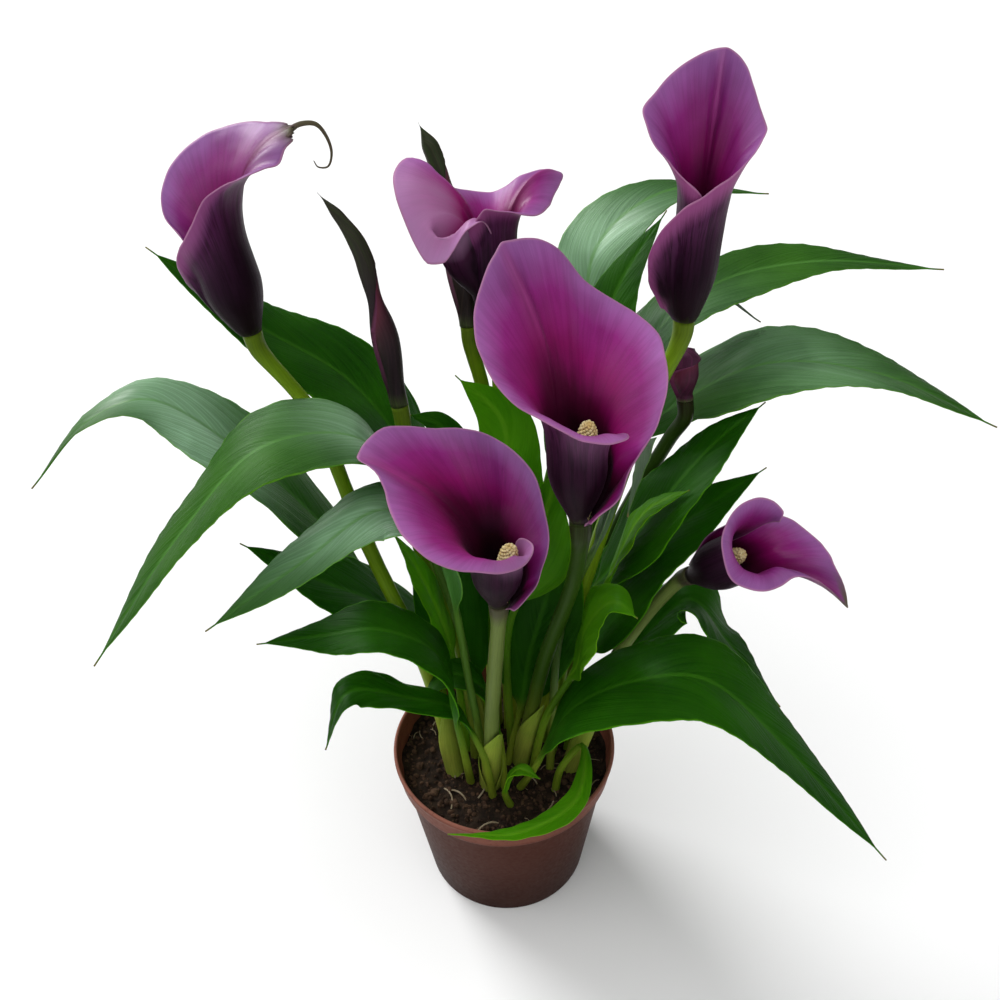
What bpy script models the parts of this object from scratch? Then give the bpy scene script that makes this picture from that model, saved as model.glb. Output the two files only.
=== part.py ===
"""Potted calla lily: the construction, for Blender 4.5.

Metres, +Z up. The pot stands on z = 0 with its axis on the world Z axis, and -Y is the front, the side the
photograph is taken from. Every size and place below is written in millimetres and turned into metres once,
when a mesh is made. The plant is held by its stems, which stand in close sockets in the soil.
"""
import math

import bmesh
import bpy
from mathutils import Vector

MM = 0.001

# Pot: a thin moulded nursery pot with a stepped collar
POT_HEIGHT = 90.0
RIM_RADIUS = 60.0
BASE_RADIUS = 44.5
COLLAR_HEIGHT = 14.0
COLLAR_STEP = 2.4
WALL = 1.5
FLOOR = 2.0
POT_SIDES = 48
HOLE_COUNT = 8
HOLE_INNER = 24.0
HOLE_OUTER = 33.0

# Soil: fills the pot to 11 mm below the rim
SOIL_TOP = 79.0
SOIL_GAP = 0.35
SOIL_SIDES = 40
SOCKET_DEPTH = 8.0
SOCKET_GAP = 0.35

# Stems and petioles
STEM_FOOT = 3.9
STEM_TOP = 3.4
STEM_CUFF = 4.9
PETIOLE_FOOT = 2.3
PETIOLE_TOP = 1.7

# Sheets: spathes and leaf blades
SPATHE_THICKNESS = 0.9
BLADE_THICKNESS = 1.0
WAVES = 2.2
EDGE_THICKNESS = 0.7
PART_GAP = 0.35


def rooted(x, y):
    """The point where a stem or a petiole starts, at the bottom of its socket in the soil."""
    return (x, y, SOIL_TOP - SOCKET_DEPTH)


# Leaves. path: the midrib from the root to the tip. face: the azimuth that the leaf grows towards, in degrees.
# blade: where the blade starts, as a share of the path. width: the widest place. widest: where that is, as a
# share of the blade. fold and curl: the slope of the sheet at the midrib and at the margin, in degrees.
# roll: the twist about the midrib at each point of the path.
LEAVES = {
    "leaf_back_left": dict(
        path=[rooted(-14, 14), (-19, 25, 130), (-40, 50, 236), (-70, 71, 275), (-114, 76, 306),
              (-160, 87, 341)],
        face=165, blade=0.38, width=60, widest=0.42, fold=16, curl=-8, wave=2.0),
    "leaf_far_left": dict(
        path=[rooted(-26, 10), (-45, 35, 125), (-83, 45, 196), (-126, 55, 246), (-165, 54, 278),
              (-191, 41, 274), (-216, 20, 252)],
        face=180, blade=0.36, width=60, widest=0.36, fold=14, curl=-10, wave=2.8),
    "leaf_front_left": dict(
        path=[rooted(-16, -2), (-19, 5, 158), (-42, 12, 245), (-60, 15, 277), (-99, 0, 284),
              (-133, -22, 258), (-173, -58, 213)],
        face=195, blade=0.44, width=58, widest=0.34, fold=14, curl=-12, wave=1.6),
    "leaf_mid_left": dict(
        path=[rooted(-10, -10), (-15, -25, 155), (-30, -25, 257), (-49, -22, 264), (-82, -39, 250),
              (-122, -58, 231)],
        face=200, blade=0.45, width=42, widest=0.40, fold=14, curl=-8, wave=1.8),
    "leaf_low_left": dict(
        path=[rooted(-18, -16), (-22, -33, 138), (-30, -25, 181), (-56, -23, 196), (-83, -23, 193),
              (-112, -29, 195)],
        face=190, blade=0.34, width=40, widest=0.42, fold=12, curl=-4, wave=1.8),
    "leaf_dark_left": dict(
        path=[rooted(-22, -4), (-31, 9, 113), (-39, 26, 146), (-61, 18, 176), (-91, 7, 204),
              (-121, 7, 226)],
        face=180, blade=0.36, width=46, widest=0.40, fold=12, curl=-6, wave=1.6),
    "leaf_small_left": dict(
        path=[rooted(-6, -27), (-12, -30, 120), (-24, -23, 140), (-45, -27, 154), (-73, -33, 165),
              (-83, -54, 150)],
        face=195, blade=0.34, width=24, widest=0.55, fold=12, curl=-8, wave=1.6),
    "leaf_low_right": dict(
        path=[rooted(6, -20), (15, -31, 103), (34, -30, 146), (63, -39, 174), (92, -46, 181),
              (127, -66, 157), (169, -101, 120)],
        face=-15, blade=0.14, width=56, widest=0.34, fold=10, curl=-8, wave=2.0),
    "leaf_behind_right": dict(
        path=[rooted(24, -2), (37, -2, 123), (73, 5, 160), (96, 10, 179), (110, -11, 171), (132, -40, 154)],
        face=0, blade=0.42, width=36, widest=0.40, fold=12, curl=-8, wave=1.6),
    "leaf_dark_right": dict(
        path=[rooted(20, 8), (37, 11, 126), (54, 12, 171), (75, 22, 201), (101, 27, 222), (131, 33, 242)],
        face=15, blade=0.34, width=52, widest=0.36, fold=10, curl=-6, wave=1.6),
    "leaf_right": dict(
        path=[rooted(14, 14), (31, 32, 139), (62, 53, 237), (98, 71, 260), (134, 60, 284), (180, 42, 286),
              (226, 14, 273)],
        face=0, blade=0.47, width=64, widest=0.38, fold=14, curl=-8, wave=2.0),
    "leaf_upper_right": dict(
        path=[rooted(22, 20), (44, 41, 169), (78, 78, 287), (108, 88, 312), (153, 87, 323), (213, 74, 323)],
        face=10, blade=0.45, width=50, widest=0.40, fold=12, curl=-8, wave=2.2),
    "leaf_back": dict(
        path=[rooted(10, 26), (17, 51, 169), (46, 92, 286), (55, 113, 325), (88, 125, 346),
              (140, 124, 344)],
        face=40, blade=0.50, width=48, widest=0.35, fold=10, curl=-8, wave=1.6),
    "leaf_back_dark": dict(
        path=[rooted(16, 32), (24, 40, 191), (52, 70, 292), (64, 84, 319), (85, 97, 347)],
        face=40, blade=0.50, width=42, widest=0.35, fold=10, curl=-8, wave=1.4),
    "leaf_under_right": dict(
        path=[rooted(28, 12), (40, 20, 157), (78, 18, 232), (101, 28, 257), (126, 34, 278)],
        face=10, blade=0.45, width=46, widest=0.45, fold=10, curl=-8, wave=1.6),
    "leaf_sliver": dict(
        path=[rooted(2, 34), (20, 57, 171), (78, 109, 281), (114, 106, 299), (135, 90, 291)],
        face=30, blade=0.55, width=18, widest=0.50, fold=10, curl=-8, wave=1.0),
    "leaf_bright_centre": dict(
        path=[rooted(-4, 14), (-4, 17, 168), (3, 12, 247), (4, 21, 280), (-16, 25, 302)],
        face=110, blade=0.55, width=42, widest=0.35, fold=12, curl=-8, wave=2.0),
    "leaf_bright_small": dict(
        path=[rooted(4, 6), (5, -3, 179), (19, -9, 222), (23, -3, 248), (31, 8, 266)],
        face=80, blade=0.60, width=28, widest=0.40, fold=12, curl=-8, wave=1.6),
    "leaf_round_back": dict(
        path=[rooted(-12, 28), (-16, 32, 173), (-19, 38, 247), (-26, 45, 264), (-40, 46, 270)],
        face=120, blade=0.70, width=22, widest=0.50, fold=12, curl=-8, wave=1.4),
    "leaf_curled_small": dict(
        path=[rooted(14, -12), (22, -14, 122), (37, -17, 162), (41, -20, 191), (52, -27, 212),
              (61, -39, 213)],
        face=0, blade=0.50, width=34, widest=0.50, fold=6, curl=-8, wave=2.0),
    "leaf_folded_right": dict(
        path=[rooted(24, -12), (31, 1, 174), (51, -7, 246), (63, 0, 281), (55, -32, 264)],
        face=0, blade=0.60, width=18, widest=0.50, fold=30, curl=10, wave=0.8),
    "leaf_yellow_edge": dict(
        path=[rooted(34, 2), (44, 4, 159), (63, 12, 219), (72, 12, 235), (89, 8, 248)],
        face=0, blade=0.64, width=16, widest=0.50, fold=12, curl=-8, wave=0.8),
    "leaf_over_rim": dict(
        path=[rooted(26, -24), (30, -24, 96), (41, -18, 105), (35, -51, 103), (5, -70, 104),
              (-28, -71, 107)],
        face=-100, blade=0.25, width=12, widest=0.50, fold=20, curl=-8, wave=1.0),
    "leaf_sprout": dict(
        path=[rooted(4, -32), (0, -35, 93), (7, -32, 104), (18, -38, 104)],
        face=-20, blade=0.40, width=9, widest=0.45, fold=20, curl=0, wave=0.5),
    "leaf_shade_left": dict(
        path=[rooted(-4, 2), (-12, 16, 112), (-20, 19, 145), (-27, 24, 177), (-34, 30, 203),
              (-40, 35, 220)],
        face=105, blade=0.30, width=40, widest=0.42, fold=10, curl=-6, wave=1.4),
    "leaf_shade_right": dict(
        path=[rooted(0, -8), (10, 3, 115), (15, 7, 148), (23, 9, 182), (29, 13, 204), (39, 15, 230)],
        face=75, blade=0.24, width=46, widest=0.42, fold=10, curl=-6, wave=1.4),
    "leaf_bright_strip": dict(
        path=[rooted(-20, 4), (-25, 5, 151), (-33, 6, 188), (-41, 7, 212), (-49, 6, 231)],
        face=150, blade=0.45, width=16, widest=0.45, fold=12, curl=-6, wave=1.2),
    "leaf_low_centre": dict(
        path=[rooted(0, -24), (-3, -17, 120), (-11, -11, 144), (-27, -7, 149), (-43, -13, 133)],
        face=190, blade=0.36, width=24, widest=0.42, fold=10, curl=-6, wave=1.4),
}

# Flower stems: the centre line from the root to the foot of the spathe
STEMS = {
    "stem_left": [rooted(-26, -10), (-37, -1, 141), (-63, 17, 216), (-85, 40, 277), (-107, 45, 317)],
    "stem_bud_left": [rooted(-13, 6), (-21, 12, 147), (-37, 20, 203), (-41, 25, 254), (-42, 27, 287)],
    "stem_bud_back": [rooted(-4, 22), (-5, 39, 175), (-1, 47, 238), (-4, 50, 278), (-10, 54, 312)],
    "stem_back": [rooted(4, 18), (4, 26, 181), (4, 34, 250), (3, 46, 318)],
    "stem_centre": [rooted(8, -4), (20, -14, 158), (33, -31, 229), (34, -44, 273)],
    "stem_top_right": [rooted(12, 4), (40, 11, 182), (69, 23, 282), (84, 30, 324)],
    "stem_front": [rooted(-8, -18), (-5, -31, 148), (0, -42, 228)],
    "stem_right": [rooted(34, -10), (52, -6, 140), (68, -2, 174), (93, 2, 202)],
    "stem_bud_hidden": [rooted(30, 22), (57, 48, 180), (85, 45, 252), (90, 41, 277)],
}

# Closed buds: the centre line above the stem, with the radius at each point
BUDS = {
    "left": dict(path=[(-42, 27, 287), (-45, 29, 318), (-49, 32, 341), (-53, 34, 359), (-60, 36, 371), (-68, 37, 381)],
                 radii=[4.4, 6.6, 5.2, 4.8, 3.3, 0.7]),
    "back": dict(path=[(-10, 54, 312), (-12, 57, 340), (-16, 69, 364), (-23, 77, 385), (-28, 78, 396)],
                 radii=[4.4, 7.4, 6.8, 4.6, 0.7]),
    "hidden": dict(path=[(90, 41, 277), (89, 42, 289), (90, 44, 297), (91, 46, 301)],
                   radii=[4.4, 7.5, 7.0, 3.0]),
}


def azimuth(degrees):
    """The level unit direction at this azimuth."""
    return (math.cos(math.radians(degrees)), math.sin(math.radians(degrees)), 0.0)


# Open flowers. foot: the point where the spathe meets its stem. axis: the way the funnel points. front: the way
# the overlapping margins face. Each row of rim is a place on the margin: the angle about the axis from the back
# of the flower, the radius and the height above the foot, and the slope of the sheet there, 0 along the axis and
# 90 straight out. hand says which margin wraps outside. tube, belly and flare_from shape the narrow tube below.
FLOWERS = {
    "centre": dict(
        foot=(34, -44, 273), axis=(-0.04, 0.04, 1), front=azimuth(-52), tube=12.5, belly=26, flare_from=34,
        lean=(4, 0, 0),
        rim=[(-228, 18, 40, 60), (-205, 22, 42, 100), (-180, 24, 45, 110), (-150, 25, 49, 95), (-125, 26, 55, 80),
             (-108, 27, 59, 70), (-88, 30, 63, 62), (-68, 33, 71, 52), (-50, 36, 79, 45), (-25, 38, 92, 35),
             (-8, 38, 102, 30), (0, 39, 105, 40), (8, 38, 105, 30), (20, 38, 104, 32), (33, 40, 98, 38),
             (48, 43, 83, 50), (60, 46, 75, 58), (72, 48, 69, 64), (84, 47, 64, 66), (95, 42, 59, 62),
             (108, 37, 53, 52), (120, 32, 46, 40), (132, 28, 39, 30), (145, 22, 32, 20), (158, 19, 25, 15),
             (172, 18, 19, 20), (188, 16, 14, 25), (205, 14, 8, 30)]),
    "front": dict(
        foot=(0, -42, 228), axis=(0.02, -0.10, 1), front=azimuth(-30), tube=11.5, belly=20, flare_from=20,
        lean=(5, 0, 0),
        rim=[(-262, 10, 29, -20), (-235, 14, 32, 20), (-205, 16, 33, 60), (-180, 16, 33, 95), (-156, 17, 34, 110),
             (-122, 21, 38, 105), (-100, 27, 44, 95), (-85, 34, 49, 88), (-70, 39, 54, 82), (-50, 41, 57, 75),
             (-26, 44, 59, 70), (-12, 50, 59, 72), (-5, 59, 57, 80), (0, 67, 55, 90), (6, 68, 57, 75),
             (14, 68, 58, 65), (24, 66, 55, 65), (35, 60, 52, 66), (45, 56, 52, 64), (55, 52, 51, 62),
             (64, 47, 49, 58), (76, 40, 47, 50), (90, 33, 44, 40), (104, 27, 39, 30), (122, 23, 33, 22),
             (140, 20, 28, 16), (160, 17, 24, 12), (174, 16, 20, 12), (190, 14, 14, 12), (206, 10, 5, 20)]),
    "top_right": dict(
        foot=(84, 30, 324), axis=(0.05, 0.0, 1), front=azimuth(-105), tube=9.6, belly=26, flare_from=44,
        rim=[(-215, 11, 40, 0), (-183, 12, 56, 5), (-148, 15, 63, 20), (-125, 18, 68, 35), (-108, 22, 73, 50),
             (-92, 26, 79, 60), (-78, 29, 83, 58), (-60, 28, 88, 35), (-45, 28, 93, 25), (-28, 28, 98, 18),
             (-10, 28, 102, 15), (0, 29, 103, 40), (8, 30, 101, 20), (18, 29, 97, 22), (28, 27, 91, 28),
             (42, 25, 84, 45), (58, 24, 78, 60), (75, 20, 75, 55), (90, 17, 72, 35), (110, 14, 68, 20),
             (135, 13, 65, 8), (160, 12, 61, 0), (178, 12, 57, 0), (200, 13, 53, 5), (214, 15, 48, 5),
             (225, 18, 41, 0), (230, 20, 33, 0), (238, 18, 22, 0), (247, 13, 12, 5), (256, 9, 5, 10)]),
    "left": dict(
        foot=(-107, 45, 317), axis=(-0.16, -0.04, 1), front=azimuth(195), tube=12, belly=26, flare_from=38,
        rim=[(-220, 11, 30, 0), (-190, 13, 37, 0), (-162, 15, 42, 5), (-149, 18, 47, 15), (-134, 28, 53, 45),
             (-122, 33, 60, 55), (-105, 37, 68, 52), (-85, 38, 74, 50), (-66, 40, 77, 55), (-44, 42, 78, 62),
             (-26, 42, 78, 72), (-8, 44, 79, 85), (0, 46, 79, 90), (8, 44, 77, 95), (16, 40, 75, 100),
             (27, 38, 72, 100), (40, 36, 73, 92), (53, 34, 74, 80), (66, 29, 73, 62), (77, 23, 70, 40),
             (90, 18, 65, 20), (110, 15, 58, 5), (138, 14, 51, 0), (160, 15, 46, 5), (172, 17, 41, 10),
             (188, 18, 33, 5), (205, 16, 22, 0), (215, 14, 15, 5), (228, 12, 8, 10), (240, 8, 4, 10)],
        tail=[(40, -1, 77.5), (48, -2, 79), (54, -3, 77), (57, -5, 70), (57, -6, 63), (54, -7, 58), (50, -7, 59),
              (49, -7, 62)],
        tail_radii=[2.0, 1.6, 1.3, 1.1, 0.9, 0.8, 0.7, 0.5]),
    "back": dict(
        foot=(3, 46, 318), axis=(-0.02, 0.0, 1), front=azimuth(-135), tube=9.6, belly=26, flare_from=38,
        crest=64,
        rim=[(-235, 14, 44, 10), (-222, 15, 48, 40), (-210, 19, 52, 80), (-198, 24, 50, 120), (-188, 28, 42, 145),
             (-178, 30, 36, 150), (-168, 33, 35, 150), (-158, 36, 42, 140), (-148, 38, 51, 120),
             (-138, 40, 59, 100), (-128, 41, 65, 80), (-115, 37, 70, 60), (-104, 29, 65, 55), (-92, 27, 57, 60),
             (-69, 27, 51, 70), (-45, 27, 48, 70), (-30, 26, 51, 60), (-15, 29, 56, 60), (-5, 36, 57, 80),
             (0, 44, 54, 120), (8, 38, 52, 120), (18, 31, 51, 115), (30, 26, 49, 120), (48, 22, 49, 120),
             (70, 20, 50, 110), (95, 19, 53, 100), (120, 18, 56, 80), (140, 16, 57, 50), (160, 15, 51, 20),
             (178, 14, 45, 5), (200, 13, 40, 0), (220, 12, 33, 0), (238, 10, 20, 0), (250, 8, 8, 0)]),
    "right": dict(
        foot=(93, 2, 202), axis=(0.48, -0.45, 0.70), front=(-0.5, 0.2, 0.5), hand=-1, tube=12.5, belly=22,
        flare_from=30,
        rim=[(-140, 14, 28, 0), (-110, 19, 38, 25), (-85, 24, 44, 50), (-69, 27, 48, 55), (-50, 27, 54, 45),
             (-35, 25, 60, 40), (-20, 27, 63, 50), (-10, 33, 63, 70), (-4, 40, 61, 85), (0, 45, 58, 110),
             (5, 36, 62, 80), (12, 25, 63, 50), (20, 20, 61, 50), (30, 18, 57, 70), (44, 20, 53, 95),
             (60, 22, 49, 110), (78, 23, 46, 115), (96, 25, 45, 115), (114, 26, 47, 105), (132, 27, 50, 90),
             (150, 26, 52, 75), (165, 25, 54, 60), (180, 24, 57, 48), (196, 22, 60, 40), (210, 20, 61, 30),
             (225, 17, 62, 20), (240, 14, 62, 0), (255, 11, 58, -30)]),
}
FOOT_RADIUS = 4.4
WRAP_GAP = 1.5
SPADIX_LENGTH = {"centre": 44, "front": 33, "top_right": 40, "left": 40, "back": 36, "right": 36}

# Materials: colour, roughness
FINISH = {
    "pot": ((0.23, 0.09, 0.065), 0.55),
    "soil": ((0.035, 0.022, 0.015), 0.95),
    "stem": ((0.16, 0.25, 0.05), 0.45),
    "leaf": ((0.035, 0.16, 0.035), 0.40),
    "spathe": ((0.20, 0.025, 0.14), 0.42),
    "bud": ((0.06, 0.03, 0.045), 0.50),
    "spadix": ((0.75, 0.60, 0.28), 0.70),
}


def lerp(a, b, t):
    return a + (b - a) * t


def ease(t):
    t = min(max(t, 0.0), 1.0)
    return t * t * (3.0 - 2.0 * t)


def clear_scene():
    for item in list(bpy.data.objects):
        bpy.data.objects.remove(item, do_unlink=True)


def finish_material(kind):
    colour, roughness = FINISH[kind]
    mat = bpy.data.materials.new(kind)
    mat.use_nodes = True
    shader = mat.node_tree.nodes["Principled BSDF"]
    shader.inputs["Base Color"].default_value = (*colour, 1.0)
    shader.inputs["Roughness"].default_value = roughness
    shader.inputs["Metallic"].default_value = 0.0
    return mat


def add_object(name, bm, kind):
    """Turn a bmesh in millimetres into a named object in metres, with its faces outward."""
    bmesh.ops.recalc_face_normals(bm, faces=bm.faces)
    if kind in ("leaf", "stem", "bud", "spadix"):
        bmesh.ops.triangulate(bm, faces=bm.faces)
    bmesh.ops.scale(bm, vec=(MM, MM, MM), verts=bm.verts)
    mesh = bpy.data.meshes.new(name)
    bm.to_mesh(mesh)
    bm.free()
    mesh.materials.append(finish_material(kind))
    mesh.shade_smooth()
    mesh.set_sharp_from_angle(angle=math.radians(40))
    item = bpy.data.objects.new(name, mesh)
    bpy.context.scene.collection.objects.link(item)
    return item


def skin(bm, rings):
    """Join rings of points into one closed body with flat ends."""
    loops = [[bm.verts.new(p) for p in ring] for ring in rings]
    count = len(loops[0])
    for low, high in zip(loops, loops[1:]):
        for k in range(count):
            j = (k + 1) % count
            bm.faces.new((low[k], low[j], high[j], high[k]))
    bm.faces.new(list(reversed(loops[0])))
    bm.faces.new(loops[-1])


def boolean(target, tool, operation):
    """Cut or join with the exact solver, keep the result as the target's mesh and drop the tool."""
    step = target.modifiers.new("boolean", "BOOLEAN")
    step.object = tool
    step.operation = operation
    depsgraph = bpy.context.evaluated_depsgraph_get()
    result = bpy.data.meshes.new_from_object(target.evaluated_get(depsgraph))
    target.modifiers.remove(step)
    target.data = result
    bpy.data.objects.remove(tool, do_unlink=True)


def smooth_path(points, shares):
    """A centripetal spline through the points, read at these shares of its length.

    Returns the places, the unit tangents and the position between the points, 0 at the first.
    """
    points = [Vector(p) for p in points]
    ends = [2 * points[0] - points[1]] + points + [2 * points[-1] - points[-2]]
    steps = 24
    samples = []
    for i in range(len(points) - 1):
        p0, p1, p2, p3 = ends[i:i + 4]
        t1 = (p1 - p0).length ** 0.5
        t2 = t1 + (p2 - p1).length ** 0.5
        t3 = t2 + (p3 - p2).length ** 0.5
        for k in range(steps + (i == len(points) - 2)):
            share = k / steps
            t = lerp(t1, t2, share)
            a1 = p0.lerp(p1, t / t1)
            a2 = p1.lerp(p2, (t - t1) / (t2 - t1))
            a3 = p2.lerp(p3, (t - t2) / (t3 - t2))
            b1 = a1.lerp(a2, t / t2)
            b2 = a2.lerp(a3, (t - t1) / (t3 - t1))
            samples.append((b1.lerp(b2, (t - t1) / (t2 - t1)), i + share))
    lengths = [0.0]
    for (a, _), (b, _) in zip(samples, samples[1:]):
        lengths.append(lengths[-1] + (b - a).length)
    places, tangents, indexes = [], [], []
    k = 0
    for share in shares:
        wanted = share * lengths[-1]
        while k < len(lengths) - 2 and lengths[k + 1] < wanted:
            k += 1
        part = (wanted - lengths[k]) / (lengths[k + 1] - lengths[k])
        places.append(samples[k][0].lerp(samples[k + 1][0], part))
        before, after = samples[max(k - 1, 0)][0], samples[min(k + 2, len(samples) - 1)][0]
        tangents.append((after - before).normalized())
        indexes.append(lerp(samples[k][1], samples[k + 1][1], part))
    return places, tangents, indexes


def value_at(values, index):
    """A value given at each point of a path, or one for all, read between the points."""
    if not isinstance(values, (list, tuple)):
        return values
    k = min(int(index), len(values) - 2)
    return lerp(values[k], values[k + 1], ease(index - k))


def round_rings(points, radii, shares, sides):
    """Round rings along a path, for stems, buds, tails and sockets."""
    places, tangents, indexes = smooth_path(points, shares)
    rings = []
    for place, tangent, index in zip(places, tangents, indexes):
        across = Vector((1.0, 0.2, 0.1))
        across = (across - across.dot(tangent) * tangent).normalized()
        up = tangent.cross(across)
        radius = value_at(radii, index)
        turns = [2 * math.pi * k / sides for k in range(sides)]
        rings.append([place + radius * (math.cos(a) * across + math.sin(a) * up) for a in turns])
    return rings


def leaf_section(half, fold, curl, side):
    """Where the sheet lies at this share of the half width: across the leaf and above its midrib."""
    share = abs(side)
    across = above = 0.0
    steps = 6
    for k in range(steps):
        angle = lerp(fold, curl, (k + 0.5) / steps * share)
        across += half * share / steps * math.cos(angle)
        above += half * share / steps * math.sin(angle)
    return math.copysign(across, side), above


def outline(b, widest):
    """Share of the full half width along the blade: an oval that ends in a short drip tip."""
    if b < widest:
        return math.sin(math.pi / 2 * b / widest) ** 0.85
    u = (b - widest) / (1.0 - widest)
    return 0.96 * math.cos(math.pi / 2 * min(1.0, u / 0.95)) ** 0.92 + 0.04 * (1.0 - u)


def leaf_rings(leaf):
    """Closed rings from the petiole's foot to the tip of the blade."""
    start = leaf["blade"]
    shares = [0.0, 0.35 * start, 0.7 * start, start]
    shares += [lerp(start, 1.0, k) for k in (0.05, 0.12, 0.22, 0.34, 0.46, 0.58, 0.70, 0.81, 0.89, 0.95, 1.0)]
    places, tangents, indexes = smooth_path(leaf["path"], shares)
    heading = Vector(azimuth(leaf["face"]))
    level = Vector((0, 0, 1)).cross(heading)
    widest = leaf["widest"]
    rings = []
    for share, place, tangent, index in zip(shares, places, tangents, indexes):
        across = (level - level.dot(tangent) * tangent).normalized()
        up = tangent.cross(across)
        roll = math.radians(value_at(leaf.get("roll", 0), index))
        across, up = across * math.cos(roll) + up * math.sin(roll), up * math.cos(roll) - across * math.sin(roll)
        b = max(0.0, (share - start) / (1.0 - start))
        shape = outline(b, widest)
        radius = lerp(PETIOLE_FOOT, PETIOLE_TOP, min(1.0, share / start))
        half = max(leaf["width"] / 2 * shape, radius * (1.0 - b) * (b < widest), 0.45)
        flat = ease(b / 0.14)
        fold = math.radians(value_at(leaf["fold"], index))
        curl = math.radians(value_at(leaf["curl"], index))
        ring = []
        for layer, sides in ((1, (-1, -0.5, 0, 0.5, 1)), (-1, (1, 0.5, 0, -0.5, -1))):
            for k, side in enumerate(sides):
                x, z = leaf_section(half, fold, curl, side)
                z += layer * lerp(BLADE_THICKNESS, EDGE_THICKNESS, abs(side)) / 2
                turn = 2 * math.pi * (WAVES * b + 0.3 * (side > 0) + 0.37 * leaf["width"])
                z += leaf["wave"] * side * side * math.sin(turn) * flat * shape
                angle = math.radians(162 - 36 * k) if layer > 0 else math.radians(-18 - 36 * k)
                x = lerp(radius * math.cos(angle), x, flat)
                z = lerp(radius * math.sin(angle), z, flat)
                ring.append(place + x * across + z * up)
        rings.append(ring)
    return rings


def flower_frame(flower):
    """The flower's own directions: the way its front faces, the side to its left, and its axis."""
    axis = Vector(flower["axis"]).normalized()
    front = Vector(flower["front"])
    front = (front - front.dot(axis) * axis).normalized()
    return front, axis.cross(front), axis


def rim_at(rows, angle):
    """The margin's radius, height and slope at this angle, eased between the rows."""
    k = 0
    while k < len(rows) - 2 and rows[k + 1][0] < angle:
        k += 1
    share = (angle - rows[k][0]) / (rows[k + 1][0] - rows[k][0])
    return [lerp(a, b, share) for a, b in zip(rows[k][1:], rows[k + 1][1:])]


def tube_radius(flower, height):
    swell = math.sin(min(height / flower["belly"], 1.0) * math.pi / 2) ** 1.15
    return lerp(FOOT_RADIUS, flower["tube"], swell)


def meridian(flower, radius, height, slope, count):
    """Points (radius, height) up the sheet from the foot to the margin, evenly spaced."""
    low = height < flower["flare_from"] * 1.1
    throat = min(flower["flare_from"], 0.62 * height)
    points = []
    for k in range(13):
        u = k / 12
        r = tube_radius(flower, u * throat)
        if low:
            r += (radius - tube_radius(flower, height)) * (0.62 * u) ** 2
        points.append(Vector((r, u * throat)))
    p0, p3 = points[-1], Vector((radius, height))
    start = (points[-1] - points[-2]).normalized()
    end = Vector((math.sin(math.radians(slope)), math.cos(math.radians(slope))))
    over = 0.7 * max(0.0, flower.get("crest", 60) - height) * max(0.0, slope - 90) / 70
    p1 = p0 + (0.42 * (p3 - p0).length + over) * start
    p2 = p3 - (0.40 * (p3 - p0).length + over) * end
    for k in range(1, 19):
        t = k / 18
        s = 1.0 - t
        points.append(s ** 3 * p0 + 3 * s * s * t * p1 + 3 * s * t * t * p2 + t ** 3 * p3)
    lengths = [0.0]
    for a, b in zip(points, points[1:]):
        lengths.append(lengths[-1] + (b - a).length)
    result = []
    j = 0
    for k in range(count):
        wanted = lengths[-1] * k / (count - 1)
        while j < len(lengths) - 2 and lengths[j + 1] < wanted:
            j += 1
        result.append(points[j].lerp(points[j + 1], (wanted - lengths[j]) / (lengths[j + 1] - lengths[j])))
    return result


def spathe_sheet(flower, angles, rows):
    """The grid of points of one open spathe: a column for each angle, from the foot to the margin."""
    front, left, axis = flower_frame(flower)
    foot = Vector(flower["foot"])
    hand = flower.get("hand", 1)
    grid = []
    for angle in angles:
        turn = math.radians(angle)
        out = -front * math.cos(turn) + left * math.sin(turn)
        column = []
        for r, h in meridian(flower, *rim_at(flower["rim"], angle), rows):
            r += WRAP_GAP * angle / 180.0 * hand * min(1.0, h / 6 + 0.6)
            column.append(foot + out * r + axis * h)
        grid.append(column)
    return grid


def build_spathe(name, flower):
    rim = flower["rim"]
    wide = [row[0] for row in rim]
    angles = [a for k, a in enumerate(wide) if k in (0, len(wide) - 1) or a == 0 or k % 4 != 2]
    grid = spathe_sheet(flower, angles, 8)
    bm = bmesh.new()
    verts = [[bm.verts.new(p) for p in column] for column in grid]
    for a, b in zip(verts, verts[1:]):
        for k in range(len(a) - 1):
            bm.faces.new((a[k], a[k + 1], b[k + 1], b[k]))
    item = add_object(name, bm, "spathe")
    shell = item.modifiers.new("shell", "SOLIDIFY")
    shell.thickness = SPATHE_THICKNESS * MM
    shell.offset = 0.0
    if "tail" in flower:
        front, left, axis = flower_frame(flower)
        foot = Vector(flower["foot"])
        path = [foot - front * p[0] + left * p[1] + axis * p[2] for p in flower["tail"]]
        bm = bmesh.new()
        skin(bm, round_rings(path, flower["tail_radii"], [k / 14 for k in range(15)], 6))
        tail = add_object("tail", bm, "spathe")
        boolean(item, tail, "UNION")
        item.modifiers.clear()
    return item


def build_spadix(name, flower, length):
    front, left, axis = flower_frame(flower)
    foot = Vector(flower["foot"]) + 0.1 * axis
    lean = Vector(flower.get("lean", (0, 0, 0)))
    path = [foot, foot + 0.4 * length * axis + 0.2 * lean, foot + length * axis + lean]
    bm = bmesh.new()
    radii = [2.3, 4.0, 1.8]
    shares = [0.0, 0.15, 0.35, 0.6, 0.8, 0.93, 1.0]
    skin(bm, round_rings(path, radii, shares, 8))
    add_object(name, bm, "spadix")


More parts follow.
